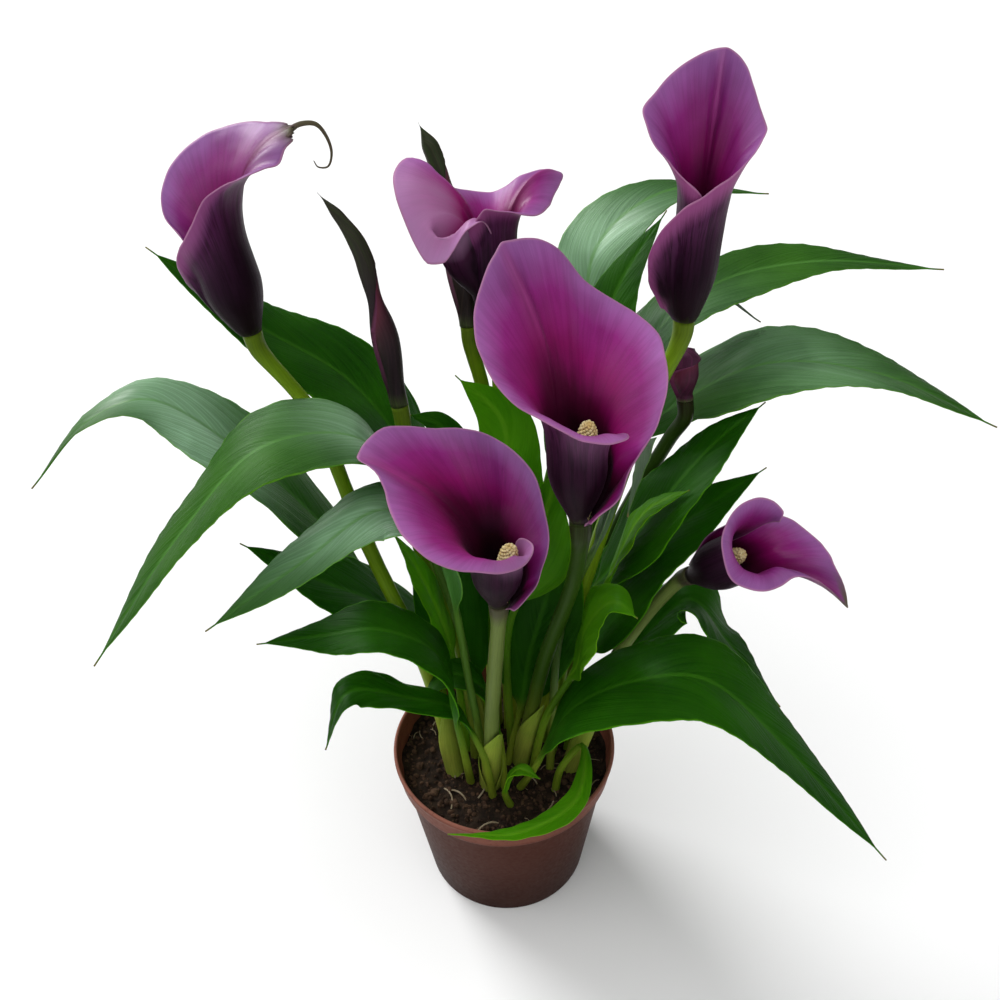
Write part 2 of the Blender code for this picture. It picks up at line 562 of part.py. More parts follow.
def stem_rings(points, axis):
    """A stem that ends just under the foot of its spathe, in line with it, and widens there into a cuff."""
    axis = Vector(axis).normalized()
    foot = Vector(points[-1])
    path = [Vector(p) for p in points[:-1]] + [foot - 9.0 * axis, foot - (PART_GAP + 0.45) * axis]
    shares = [0.0, 0.04, 0.16, 0.3, 0.44, 0.58, 0.72, 0.85, 0.95, 1.0]
    places, _, _ = smooth_path(path, shares)
    rings = round_rings(path, 1.0, shares, 8)
    for ring, place, share in zip(rings, places, shares):
        radius = STEM_CUFF if share == 1.0 else lerp(STEM_FOOT, STEM_TOP, share)
        for k, p in enumerate(ring):
            ring[k] = place + (p - place) * radius
    return rings


def stem_axis(name):
    """The direction a stem ends in: along its open flower's axis or its bud."""
    key = name[len("stem_"):]
    if key in FLOWERS:
        return FLOWERS[key]["axis"]
    first, second = BUDS[key.replace("bud_", "", 1)]["path"][:2]
    return Vector(second) - Vector(first)


def build_stem(name, points):
    bm = bmesh.new()
    skin(bm, stem_rings(points, stem_axis(name)))
    add_object(name, bm, "stem")


def build_bud(name, bud):
    shares = [0.0, 0.12, 0.26, 0.42, 0.56, 0.70, 0.82, 0.92, 1.0]
    bm = bmesh.new()
    skin(bm, round_rings(bud["path"], bud["radii"], shares, 10))
    add_object(name, bm, "bud")


def build_leaf(name, leaf):
    bm = bmesh.new()
    skin(bm, leaf_rings(leaf))
    add_object(name, bm, "leaf")


def wall_radius(z):
    """The pot's outer radius below the collar."""
    return lerp(BASE_RADIUS, RIM_RADIUS - COLLAR_STEP, z / POT_HEIGHT)


def ring_of(bm, radius, z, sides):
    turns = [2 * math.pi * k / sides for k in range(sides)]
    return [bm.verts.new((radius * math.cos(a), radius * math.sin(a), z)) for a in turns]


def band(bm, low, high, skip=()):
    count = len(low)
    for k in range(count):
        if k not in skip:
            j = (k + 1) % count
            bm.faces.new((low[k], low[j], high[j], high[k]))


def build_pot():
    """The wall and collar in one turned skin, with a flat floor that drain holes go through."""
    step_z = POT_HEIGHT - COLLAR_HEIGHT
    step_r = wall_radius(step_z)
    inner_floor = wall_radius(FLOOR) - WALL
    bm = bmesh.new()
    outer = [(BASE_RADIUS, 0.0), (wall_radius(30), 30.0), (step_r, step_z), (step_r + COLLAR_STEP, step_z + 0.8),
             (RIM_RADIUS, POT_HEIGHT - 1.2), (RIM_RADIUS - 0.4, POT_HEIGHT)]
    inner = [(RIM_RADIUS - 1.8, POT_HEIGHT), (RIM_RADIUS - 2.2, POT_HEIGHT - 1.0),
             (step_r + COLLAR_STEP - WALL, step_z + 2.6), (step_r - WALL, step_z - 0.6), (inner_floor, FLOOR)]
    loops = [ring_of(bm, r, z, POT_SIDES) for r, z in outer + inner]
    for low, high in zip(loops, loops[1:]):
        band(bm, low, high)
    per_hole = POT_SIDES // HOLE_COUNT
    holes = [k for k in range(POT_SIDES) if k % per_hole in (0, 1)]
    floors = []
    for z, edge in ((0.0, loops[0]), (FLOOR, loops[-1])):
        rings = [edge, ring_of(bm, HOLE_OUTER, z, POT_SIDES), ring_of(bm, HOLE_INNER, z, POT_SIDES)]
        for a, b, skip in ((rings[0], rings[1], ()), (rings[1], rings[2], holes)):
            if z == 0.0:
                band(bm, b, a, skip)
            else:
                band(bm, a, b, skip)
        centre = rings[2] if z > 0.0 else list(reversed(rings[2]))
        bm.faces.new(centre)
        floors.append(rings)
    low, high = floors
    for k in holes:
        j = (k + 1) % POT_SIDES
        bm.faces.new((low[1][k], low[1][j], high[1][j], high[1][k]))
        bm.faces.new((high[2][k], high[2][j], low[2][j], low[2][k]))
        if (k - 1) % POT_SIDES not in holes:
            bm.faces.new((low[2][k], low[1][k], high[1][k], high[2][k]))
        if j not in holes:
            bm.faces.new((low[1][j], low[2][j], high[2][j], high[1][j]))
    add_object("pot", bm, "pot")


def soil_height(x, y):
    """The uneven top of the soil, with a slight mound round the stems."""
    mound = 1.0 * math.exp(-(x * x + y * y) / 700.0)
    lumps = 0.5 * math.sin(x * 0.21 + 1.0) * math.cos(y * 0.24) + 0.3 * math.sin(x * 0.4 - y * 0.33)
    return SOIL_TOP - 0.6 + mound + lumps


def build_soil():
    """The soil, with a close socket for each stem and petiole."""
    step_z = POT_HEIGHT - COLLAR_HEIGHT
    step_r = wall_radius(step_z)
    bottom = (wall_radius(FLOOR) - WALL - SOIL_GAP - 0.1, FLOOR + SOIL_GAP)
    side = (step_r - WALL - SOIL_GAP - 0.1, step_z - 0.8)
    edge = (step_r + COLLAR_STEP - WALL - SOIL_GAP - 0.3, step_z + 2.6)
    bm = bmesh.new()
    loops = [ring_of(bm, r, z, SOIL_SIDES) for r, z in (bottom, side, edge)]
    for radius in (45.0, 33.0, 20.0, 8.0):
        ring = ring_of(bm, radius, 0.0, SOIL_SIDES)
        for v in ring:
            v.co.z = soil_height(v.co.x, v.co.y)
        loops.append(ring)
    for low, high in zip(loops, loops[1:]):
        band(bm, low, high)
    bm.faces.new(list(reversed(loops[0])))
    peak = bm.verts.new((0, 0, soil_height(0, 0)))
    for k in range(SOIL_SIDES):
        bm.faces.new((loops[-1][k], loops[-1][(k + 1) % SOIL_SIDES], peak))
    bmesh.ops.triangulate(bm, faces=bm.faces)
    soil = add_object("soil", bm, "soil")
    rooted_paths = [(STEM_FOOT, p) for p in STEMS.values()]
    rooted_paths += [(PETIOLE_FOOT, leaf["path"]) for leaf in LEAVES.values()]
    for radius, path in rooted_paths:
        length = path_length(path)
        places, tangents, _ = smooth_path(path, [k * 10.0 / length for k in range(3)])
        wide = (radius + SOCKET_GAP) / math.cos(math.pi / 8)
        places[0] = places[0] - 0.4 * tangents[0]
        bm = bmesh.new()
        skin(bm, round_rings(places, wide, [0.0, 0.5, 1.0], 8))
        boolean(soil, add_object("socket", bm, "soil"), "DIFFERENCE")


def path_length(points):
    places, _, _ = smooth_path(points, [k / 40 for k in range(41)])
    return sum((b - a).length for a, b in zip(places, places[1:]))


def main():
    clear_scene()
    build_pot()
    build_soil()
    for name, points in STEMS.items():
        build_stem(name, points)
    for name, bud in BUDS.items():
        build_bud("bud_" + name, bud)
    for name, flower in FLOWERS.items():
        build_spathe("spathe_" + name, flower)
        build_spadix("spadix_" + name, flower, SPADIX_LENGTH[name])
    for name, leaf in LEAVES.items():
        build_leaf(name, leaf)


main()
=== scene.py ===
"""Potted calla lily: the looks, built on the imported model.

Lengths are written in millimetres and turned into metres once, when a piece's mesh is made.
-Y is the front.
"""
import math

import bpy
import numpy as np
from mathutils import Matrix, Vector, noise


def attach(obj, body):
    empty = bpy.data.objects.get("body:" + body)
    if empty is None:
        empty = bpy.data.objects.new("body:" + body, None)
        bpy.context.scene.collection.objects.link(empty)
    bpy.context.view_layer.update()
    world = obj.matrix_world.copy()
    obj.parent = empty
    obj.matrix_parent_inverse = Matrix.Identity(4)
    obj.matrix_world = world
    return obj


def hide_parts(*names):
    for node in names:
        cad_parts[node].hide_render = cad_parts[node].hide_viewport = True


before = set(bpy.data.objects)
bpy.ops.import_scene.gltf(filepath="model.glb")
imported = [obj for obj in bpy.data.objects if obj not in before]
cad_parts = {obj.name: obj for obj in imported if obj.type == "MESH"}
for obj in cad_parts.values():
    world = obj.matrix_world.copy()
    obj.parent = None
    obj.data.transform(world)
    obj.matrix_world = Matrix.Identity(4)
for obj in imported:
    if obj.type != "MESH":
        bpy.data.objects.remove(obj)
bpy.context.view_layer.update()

MM = 0.001
UP = np.array([0.0, 0.0, 1.0])

# Camera: where the photograph was taken from
CAMERA_PLACE = (2.0, -364.0, 516.0)
CAMERA_PITCH = 36.0
CAMERA_ROLL = -1.8
CAMERA_LENS = 36.0
SENSOR = 36.0

# Pot and soil
POT_HEIGHT = 90.0
RIM_RADIUS = 60.0
BASE_RADIUS = 44.5
COLLAR_HEIGHT = 14.0
COLLAR_STEP = 2.4
WALL = 1.5
FLOOR = 2.0
HOLE_COUNT = 8
HOLE_INNER = 24.0
HOLE_OUTER = 33.0
SOIL_TOP = 79.0
SOIL_RADIUS = 56.6
ROOT_DEPTH = 8.0
POT_SIDES = 192
SOIL_RINGS = 62
SOIL_SIDES = 200
BED_RINGS = 30
BED_SIDES = 90

# Stems, petioles, sheets and tubes
STEM_FOOT = 3.9
STEM_TOP = 3.4
FLOWER_CUFF = 4.6
BUD_CUFF = 3.9
STEM_SIDES = 24
CUFF_LENGTH = 9.0
FOOT_GAP = 0.4
SHEATH_RINGS = 26
SHEATH_COLUMNS = 17
PETIOLE_FOOT = 2.3
PETIOLE_TOP = 1.7
PETIOLE_RINGS = 16
BLADE_RINGS = 60
LEAF_COLUMNS = 23
SIDE_VEIN_SLANT = 2.6
WAVES = 2.2
PLEAT = 0.35
PLEAT_LENGTH = 15.0
SPATHE_THICKNESS = 0.9
MARGIN_THICKNESS = 0.45
SPATHE_ROWS = 52
TUBE_STEPS = 50
LIMB_STEPS = 70
COLUMN_TURN = 2.7
TIP_COLUMNS = 13
TIP_REACH = 4.0
TAIL_REACH = 10.0
TAIL_STEPS = 90
FOOT_RADIUS = 4.4
WRAP_GAP = 1.5
TAIL_FROM = 88.0
TAIL_IN_SHEET = 0.34
TAIL_RADIUS = 1.0
TAIL_END = 0.22
TAIL_RINGS = 80
TAIL_SIDES = 14
BUD_RINGS = 70
BUD_SIDES = 48
SPADIX_RINGS = 24
SPADIX_SIDES = 16
FLORETS_PER_MM = 11
FLORET_GIRTH = 3.9
FLORET_RADIUS = 0.72
GOLDEN_ANGLE = math.radians(137.508)


def rooted(x, y):
    """The point where a stem or a petiole starts, under the soil's surface."""
    return (x, y, SOIL_TOP - ROOT_DEPTH)


def azimuth(degrees):
    """The level unit direction at this azimuth."""
    return (math.cos(math.radians(degrees)), math.sin(math.radians(degrees)), 0.0)


# Leaves. path: the midrib from the root to the tip. face: the azimuth that the leaf grows towards,
# in degrees. blade: where the blade starts, as a share of the path. width: the widest place. widest:
# where that is, as a share of the blade. fold and curl: the slope of the sheet at the midrib and at the
# margin, in degrees. wave: how far the margin waves.
LEAVES = {
    "leaf_back_left": dict(
        path=[rooted(-14, 14), (-19, 25, 130), (-40, 50, 236), (-70, 71, 275), (-114, 76, 306),
              (-160, 87, 341)],
        face=165, blade=0.38, width=60, widest=0.42, fold=16, curl=-8, wave=2.0),
    "leaf_far_left": dict(
        path=[rooted(-26, 10), (-45, 35, 125), (-83, 45, 196), (-126, 55, 246), (-165, 54, 278),
              (-191, 41, 274), (-216, 20, 252)],
        face=180, blade=0.36, width=60, widest=0.36, fold=14, curl=-10, wave=2.8),
    "leaf_front_left": dict(
        path=[rooted(-16, -2), (-19, 5, 158), (-42, 12, 245), (-60, 15, 277), (-99, 0, 284),
              (-133, -22, 258), (-173, -58, 213)],
        face=195, blade=0.44, width=58, widest=0.34, fold=14, curl=-12, wave=1.6),
    "leaf_mid_left": dict(
        path=[rooted(-10, -10), (-15, -25, 155), (-30, -25, 257), (-49, -22, 264), (-82, -39, 250),
              (-122, -58, 231)],
        face=200, blade=0.45, width=42, widest=0.4, fold=14, curl=-8, wave=1.8),
    "leaf_low_left": dict(
        path=[rooted(-18, -16), (-22, -33, 138), (-30, -25, 181), (-56, -23, 196), (-83, -23, 193),
              (-112, -29, 195)],
        face=190, blade=0.34, width=40, widest=0.42, fold=12, curl=-4, wave=1.8),
    "leaf_dark_left": dict(
        path=[rooted(-22, -4), (-31, 9, 113), (-39, 26, 146), (-61, 18, 176), (-91, 7, 204),
              (-121, 7, 226)],
        face=180, blade=0.36, width=46, widest=0.4, fold=12, curl=-6, wave=1.6),
    "leaf_small_left": dict(
        path=[rooted(-6, -27), (-12, -30, 120), (-24, -23, 140), (-45, -27, 154), (-73, -33, 165),
              (-83, -54, 150)],
        face=195, blade=0.34, width=24, widest=0.55, fold=12, curl=-8, wave=1.6),
    "leaf_low_right": dict(
        path=[rooted(6, -20), (15, -31, 103), (34, -30, 146), (63, -39, 174), (92, -46, 181),
              (127, -66, 157), (169, -101, 120)],
        face=-15, blade=0.14, width=56, widest=0.34, fold=10, curl=-8, wave=2.0),
    "leaf_behind_right": dict(
        path=[rooted(24, -2), (37, -2, 123), (73, 5, 160), (96, 10, 179), (110, -11, 171),
              (132, -40, 154)],
        face=0, blade=0.42, width=36, widest=0.4, fold=12, curl=-8, wave=1.6),
    "leaf_dark_right": dict(
        path=[rooted(20, 8), (37, 11, 126), (54, 12, 171), (75, 22, 201), (101, 27, 222),
              (131, 33, 242)],
        face=15, blade=0.34, width=52, widest=0.36, fold=10, curl=-6, wave=1.6),
    "leaf_right": dict(
        path=[rooted(14, 14), (31, 32, 139), (62, 53, 237), (98, 71, 260), (134, 60, 284),
              (180, 42, 286), (226, 14, 273)],
        face=0, blade=0.47, width=64, widest=0.38, fold=14, curl=-8, wave=2.0),
    "leaf_upper_right": dict(
        path=[rooted(22, 20), (44, 41, 169), (78, 78, 287), (108, 88, 312), (153, 87, 323),
              (213, 74, 323)],
        face=10, blade=0.45, width=50, widest=0.4, fold=12, curl=-8, wave=2.2),
    "leaf_back": dict(
        path=[rooted(10, 26), (17, 51, 169), (46, 92, 286), (55, 113, 325), (88, 125, 346),
              (140, 124, 344)],
        face=40, blade=0.5, width=48, widest=0.35, fold=10, curl=-8, wave=1.6),
    "leaf_back_dark": dict(
        path=[rooted(16, 32), (24, 40, 191), (52, 70, 292), (64, 84, 319), (85, 97, 347)],
        face=40, blade=0.5, width=42, widest=0.35, fold=10, curl=-8, wave=1.4),
    "leaf_under_right": dict(
        path=[rooted(28, 12), (40, 20, 157), (78, 18, 232), (101, 28, 257), (126, 34, 278)],
        face=10, blade=0.45, width=46, widest=0.45, fold=10, curl=-8, wave=1.6),
    "leaf_sliver": dict(
        path=[rooted(2, 34), (20, 57, 171), (78, 109, 281), (114, 106, 299), (135, 90, 291)],
        face=30, blade=0.55, width=18, widest=0.5, fold=10, curl=-8, wave=1.0),
    "leaf_bright_centre": dict(
        path=[rooted(-4, 14), (-4, 17, 168), (3, 12, 247), (4, 21, 280), (-16, 25, 302)],
        face=110, blade=0.55, width=42, widest=0.35, fold=12, curl=-8, wave=2.0),
    "leaf_bright_small": dict(
        path=[rooted(4, 6), (5, -3, 179), (19, -9, 222), (23, -3, 248), (31, 8, 266)],
        face=80, blade=0.6, width=28, widest=0.4, fold=12, curl=-8, wave=1.6),
    "leaf_round_back": dict(
        path=[rooted(-12, 28), (-16, 32, 173), (-19, 38, 247), (-26, 45, 264), (-40, 46, 270)],
        face=120, blade=0.7, width=22, widest=0.5, fold=12, curl=-8, wave=1.4),
    "leaf_curled_small": dict(
        path=[rooted(14, -12), (22, -14, 122), (37, -17, 162), (41, -20, 191), (52, -27, 212),
              (61, -39, 213)],
        face=0, blade=0.5, width=34, widest=0.5, fold=6, curl=-8, wave=2.0),
    "leaf_folded_right": dict(
        path=[rooted(24, -12), (31, 1, 174), (51, -7, 246), (63, 0, 281), (55, -32, 264)],
        face=0, blade=0.6, width=18, widest=0.5, fold=30, curl=10, wave=0.8),
    "leaf_yellow_edge": dict(
        path=[rooted(34, 2), (44, 4, 159), (63, 12, 219), (72, 12, 235), (89, 8, 248)],
        face=0, blade=0.64, width=16, widest=0.5, fold=12, curl=-8, wave=0.8),
    "leaf_over_rim": dict(
        path=[rooted(26, -24), (30, -24, 96), (41, -18, 105), (35, -51, 103), (5, -70, 104),
              (-28, -71, 107)],
        face=-100, blade=0.25, width=12, widest=0.5, fold=20, curl=-8, wave=1.0),
    "leaf_sprout": dict(
        path=[rooted(4, -32), (0, -35, 93), (7, -32, 104), (18, -38, 104)],
        face=-20, blade=0.4, width=9, widest=0.45, fold=20, curl=0, wave=0.5),
    "leaf_shade_left": dict(
        path=[rooted(-4, 2), (-12, 16, 112), (-20, 19, 145), (-27, 24, 177), (-34, 30, 203),
              (-40, 35, 220)],
        face=105, blade=0.3, width=40, widest=0.42, fold=10, curl=-6, wave=1.4),
    "leaf_shade_right": dict(
        path=[rooted(0, -8), (10, 3, 115), (15, 7, 148), (23, 9, 182), (29, 13, 204), (39, 15, 230)],
        face=75, blade=0.24, width=46, widest=0.42, fold=10, curl=-6, wave=1.4),
    "leaf_bright_strip": dict(
        path=[rooted(-20, 4), (-25, 5, 151), (-33, 6, 188), (-41, 7, 212), (-49, 6, 231)],
        face=150, blade=0.45, width=16, widest=0.45, fold=12, curl=-6, wave=1.2),
    "leaf_low_centre": dict(
        path=[rooted(0, -24), (-3, -17, 120), (-11, -11, 144), (-27, -7, 149), (-43, -13, 133)],
        face=190, blade=0.36, width=24, widest=0.42, fold=10, curl=-6, wave=1.4),
}

# Flower stems: the centre line from the root to the foot of the spathe
STEMS = {
    "stem_left": [rooted(-26, -10), (-37, -1, 141), (-63, 17, 216), (-85, 40, 277), (-107, 45, 317)],
    "stem_bud_left": [rooted(-13, 6), (-21, 12, 147), (-37, 20, 203), (-41, 25, 254), (-42, 27, 287)],
    "stem_bud_back": [rooted(-4, 22), (-5, 39, 175), (-1, 47, 238), (-4, 50, 278), (-10, 54, 312)],
    "stem_back": [rooted(4, 18), (4, 26, 181), (4, 34, 250), (3, 46, 318)],
    "stem_centre": [rooted(8, -4), (20, -14, 158), (33, -31, 229), (34, -44, 273)],
    "stem_top_right": [rooted(12, 4), (40, 11, 182), (69, 23, 282), (84, 30, 324)],
    "stem_front": [rooted(-8, -18), (-5, -31, 148), (0, -42, 228)],
    "stem_right": [rooted(34, -10), (52, -6, 140), (68, -2, 174), (93, 2, 202)],
    "stem_bud_hidden": [rooted(30, 22), (57, 48, 180), (85, 45, 252), (90, 41, 277)],
}

# Closed buds: the centre line above the stem, with the radius at each point
BUDS = {
    "left": dict(
        path=[(-42, 27, 287), (-45, 29, 318), (-49, 32, 341), (-53, 34, 359), (-60, 36, 371),
              (-68, 37, 381)],
        radii=[4.4, 6.6, 5.2, 4.8, 3.3, 0.7]),
    "back": dict(
        path=[(-10, 54, 312), (-12, 57, 340), (-16, 69, 364), (-23, 77, 385), (-28, 78, 396)],
        radii=[4.4, 7.4, 6.8, 4.6, 0.7]),
    "hidden": dict(
        path=[(90, 41, 277), (89, 42, 289), (90, 44, 297), (91, 46, 301)],
        radii=[4.4, 7.5, 7.0, 3.0]),
}

# Open flowers. foot: the point where the spathe meets its stem. axis: the way the funnel points. front:
# the way the overlapping margins face. Each row of rim is a place on the margin: the angle about the axis
# from the back of the flower, the radius and the height above the foot, and the slope of the sheet there,
# 0 along the axis and 90 straight out. hand says which margin wraps outside. tube, belly and flare_from
# shape the narrow tube below. crest: the height that the sheet rises towards before its margin rolls
# over. lean: how far the spadix's tip leans. tail: the path of the curl at the tip.
FLOWERS = {
    "centre": dict(
        foot=(34, -44, 273), axis=(-0.04, 0.04, 1), front=azimuth(-52), tube=12.5, belly=26,
        flare_from=34, lean=(4, 0, 0),
        rim=[(-228, 18, 40, 60), (-205, 22, 42, 100), (-180, 24, 45, 110), (-150, 25, 49, 95),
             (-125, 26, 55, 80), (-108, 27, 59, 70), (-88, 30, 63, 62), (-68, 33, 71, 52),
             (-50, 36, 79, 45), (-25, 38, 92, 35), (-8, 38, 102, 30), (0, 39, 105, 40),
             (8, 38, 105, 30), (20, 38, 104, 32), (33, 40, 98, 38), (48, 43, 83, 50), (60, 46, 75, 58),
             (72, 48, 69, 64), (84, 47, 64, 66), (95, 42, 59, 62), (108, 37, 53, 52), (120, 32, 46, 40),
             (132, 28, 39, 30), (145, 22, 32, 20), (158, 19, 25, 15), (172, 18, 19, 20),
             (188, 16, 14, 25), (205, 14, 8, 30)]),
    "front": dict(
        foot=(0, -42, 228), axis=(0.02, -0.1, 1), front=azimuth(-30), tube=11.5, belly=20,
        flare_from=20, lean=(5, 0, 0),
        rim=[(-262, 10, 29, -20), (-235, 14, 32, 20), (-205, 16, 33, 60), (-180, 16, 33, 95),
             (-156, 17, 34, 110), (-122, 21, 38, 105), (-100, 27, 44, 95), (-85, 34, 49, 88),
             (-70, 39, 54, 82), (-50, 41, 57, 75), (-26, 44, 59, 70), (-12, 50, 59, 72),
             (-5, 59, 57, 80), (0, 67, 55, 90), (6, 68, 57, 75), (14, 68, 58, 65), (24, 66, 55, 65),
             (35, 60, 52, 66), (45, 56, 52, 64), (55, 52, 51, 62), (64, 47, 49, 58), (76, 40, 47, 50),
             (90, 33, 44, 40), (104, 27, 39, 30), (122, 23, 33, 22), (140, 20, 28, 16),
             (160, 17, 24, 12), (174, 16, 20, 12), (190, 14, 14, 12), (206, 10, 5, 20)]),
    "top_right": dict(
        foot=(84, 30, 324), axis=(0.05, 0.0, 1), front=azimuth(-105), tube=9.6, belly=26, flare_from=44,
        rim=[(-215, 11, 40, 0), (-183, 12, 56, 5), (-148, 15, 63, 20), (-125, 18, 68, 35),
             (-108, 22, 73, 50), (-92, 26, 79, 60), (-78, 29, 83, 58), (-60, 28, 88, 35),
             (-45, 28, 93, 25), (-28, 28, 98, 18), (-10, 28, 102, 15), (0, 29, 103, 40),
             (8, 30, 101, 20), (18, 29, 97, 22), (28, 27, 91, 28), (42, 25, 84, 45), (58, 24, 78, 60),
             (75, 20, 75, 55), (90, 17, 72, 35), (110, 14, 68, 20), (135, 13, 65, 8), (160, 12, 61, 0),
             (178, 12, 57, 0), (200, 13, 53, 5), (214, 15, 48, 5), (225, 18, 41, 0), (230, 20, 33, 0),
             (238, 18, 22, 0), (247, 13, 12, 5), (256, 9, 5, 10)]),
    "left": dict(
        foot=(-107, 45, 317), axis=(-0.16, -0.04, 1), front=azimuth(195), tube=12, belly=26,
        flare_from=38,
        rim=[(-220, 11, 30, 0), (-190, 13, 37, 0), (-162, 15, 42, 5), (-149, 18, 47, 15),
             (-134, 28, 53, 45), (-122, 33, 60, 55), (-105, 37, 68, 52), (-85, 38, 74, 50),
             (-66, 40, 77, 55), (-44, 42, 78, 62), (-26, 42, 78, 72), (-8, 44, 79, 85), (0, 46, 79, 90),
             (8, 44, 77, 95), (16, 40, 75, 100), (27, 38, 72, 100), (40, 36, 73, 92), (53, 34, 74, 80),
             (66, 29, 73, 62), (77, 23, 70, 40), (90, 18, 65, 20), (110, 15, 58, 5), (138, 14, 51, 0),
             (160, 15, 46, 5), (172, 17, 41, 10), (188, 18, 33, 5), (205, 16, 22, 0), (215, 14, 15, 5),
             (228, 12, 8, 10), (240, 8, 4, 10)],
        tail=[(40, -1, 77.5), (48, -2, 79), (54, -3, 77), (57, -5, 70), (57, -6, 63), (54, -7, 58),
              (50, -7, 59), (49, -7, 62)]),
    "back": dict(
        foot=(3, 46, 318), axis=(-0.02, 0.0, 1), front=azimuth(-135), tube=9.6, belly=26, flare_from=38,
        crest=64,
        rim=[(-235, 14, 44, 10), (-222, 15, 48, 40), (-210, 19, 52, 80), (-198, 24, 50, 120),
             (-188, 28, 42, 145), (-178, 30, 36, 150), (-168, 33, 35, 150), (-158, 36, 42, 140),
             (-148, 38, 51, 120), (-138, 40, 59, 100), (-128, 41, 65, 80), (-115, 37, 70, 60),
             (-104, 29, 65, 55), (-92, 27, 57, 60), (-69, 27, 51, 70), (-45, 27, 48, 70),
             (-30, 26, 51, 60), (-15, 29, 56, 60), (-5, 36, 57, 80), (0, 44, 54, 120), (8, 38, 52, 120),
             (18, 31, 51, 115), (30, 26, 49, 120), (48, 22, 49, 120), (70, 20, 50, 110),
             (95, 19, 53, 100), (120, 18, 56, 80), (140, 16, 57, 50), (160, 15, 51, 20),
             (178, 14, 45, 5), (200, 13, 40, 0), (220, 12, 33, 0), (238, 10, 20, 0), (250, 8, 8, 0)]),
    "right": dict(
        foot=(93, 2, 202), axis=(0.48, -0.45, 0.7), front=(-0.5, 0.2, 0.5), hand=-1, tube=12.5,
        belly=22, flare_from=30,
        rim=[(-140, 14, 28, 0), (-110, 19, 38, 25), (-85, 24, 44, 50), (-69, 27, 48, 55),
             (-50, 27, 54, 45), (-35, 25, 60, 40), (-20, 27, 63, 50), (-10, 33, 63, 70),
             (-4, 40, 61, 85), (0, 45, 58, 110), (5, 36, 62, 80), (12, 25, 63, 50), (20, 20, 61, 50),
             (30, 18, 57, 70), (44, 20, 53, 95), (60, 22, 49, 110), (78, 23, 46, 115),
             (96, 25, 45, 115), (114, 26, 47, 105), (132, 27, 50, 90), (150, 26, 52, 75),
             (165, 25, 54, 60), (180, 24, 57, 48), (196, 22, 60, 40), (210, 20, 61, 30),
             (225, 17, 62, 20), (240, 14, 62, 0), (255, 11, 58, -30)]),
}
SPADIX_LENGTH = {"centre": 44, "front": 33, "top_right": 40, "left": 40, "back": 36, "right": 36}


def unit(v):
    v = np.asarray(v, float)
    return v / np.maximum(np.linalg.norm(v, axis=-1, keepdims=True), 1e-9)


def running_length(points, axis=0):
    """The length run along the points so far, from 0 at the first one."""
    steps = np.linalg.norm(np.diff(points, axis=axis), axis=-1)
    start = np.zeros_like(np.take(steps, [0], axis=axis))
    return np.concatenate([start, np.cumsum(steps, axis=axis)], axis=axis)


def columns_at(wanted, known, table):
    """Each column of the table, read at the wanted places."""
    return np.stack([np.interp(wanted, known, table[:, k]) for k in range(3)], 1)


def smooth_path(points, shares):
    """A centripetal spline through the points: places, tangents and point positions at these shares."""
    P = np.asarray(points, float)
    ends = np.vstack([2 * P[0] - P[1], P, 2 * P[-1] - P[-2]])
    samples, where = [], []
    steps = 60
    for i in range(len(P) - 1):
        p0, p1, p2, p3 = ends[i:i + 4]
        t1 = np.linalg.norm(p1 - p0) ** 0.5
        t2 = t1 + np.linalg.norm(p2 - p1) ** 0.5
        t3 = t2 + np.linalg.norm(p3 - p2) ** 0.5
        t = np.linspace(t1, t2, steps, endpoint=i == len(P) - 2)[:, None]
        a1 = p0 + (p1 - p0) * t / t1
        a2 = p1 + (p2 - p1) * (t - t1) / (t2 - t1)
        a3 = p2 + (p3 - p2) * (t - t2) / (t3 - t2)
        b1 = a1 + (a2 - a1) * t / t2
        b2 = a2 + (a3 - a2) * (t - t1) / (t3 - t1)
        samples.append(b1 + (b2 - b1) * (t - t1) / (t2 - t1))
        where.append(i + (t[:, 0] - t1) / (t2 - t1))
    samples, where = np.vstack(samples), np.concatenate(where)
    along = running_length(samples)
    wanted = np.asarray(shares) * along[-1]
    tangents = unit(np.gradient(samples, along, axis=0, edge_order=1))
    tangents = unit(columns_at(wanted, along, tangents))
    return columns_at(wanted, along, samples), tangents, np.interp(wanted, along, where), along[-1]


def ease(t):
    t = np.clip(t, 0.0, 1.0)
    return t * t * (3.0 - 2.0 * t)


def values_at(values, where):
    """A value given at each point of a path, eased between the points."""
    values = np.asarray(values, float)
    k = np.clip(where.astype(int), 0, len(values) - 2)
    return values[k] + (values[k + 1] - values[k]) * ease(where - k)


def ripple(places, size, seed):
    """Smooth noise from -1 to 1 at each place, with features about this size in millimetres."""
    offset = Vector((seed * 3.7, seed * 1.9, seed * 5.3))
    flat = np.asarray(places, float).reshape(-1, 3) / size
    found = [noise.noise(Vector(p) + offset) for p in flat]
    return np.array(found).reshape(np.shape(places)[:-1])


def around(sides):
    """Equal turns round a circle."""
    return np.linspace(0, 2 * math.pi, sides, endpoint=False)


def each_row(values, shape):
    """One value for each ring or column, spread over the whole grid."""
    return np.broadcast_to(np.asarray(values)[:, None], shape)


def frame_along(tangents):
    """Two directions across each tangent, without sudden turns."""
    across = np.array([1.0, 0.2, 0.1])
    rows = []
    for t in tangents:
        across = unit(across - (across @ t) * t)
        rows.append(across)
    return np.array(rows), np.cross(tangents, rows)


def circles_along(tangents, sides, squash=1.0):
    """A unit circle across each tangent."""
    across, up = frame_along(tangents)
    turns = around(sides)[None, :, None]
    return across[:, None] * np.cos(turns) + squash * up[:, None] * np.sin(turns)


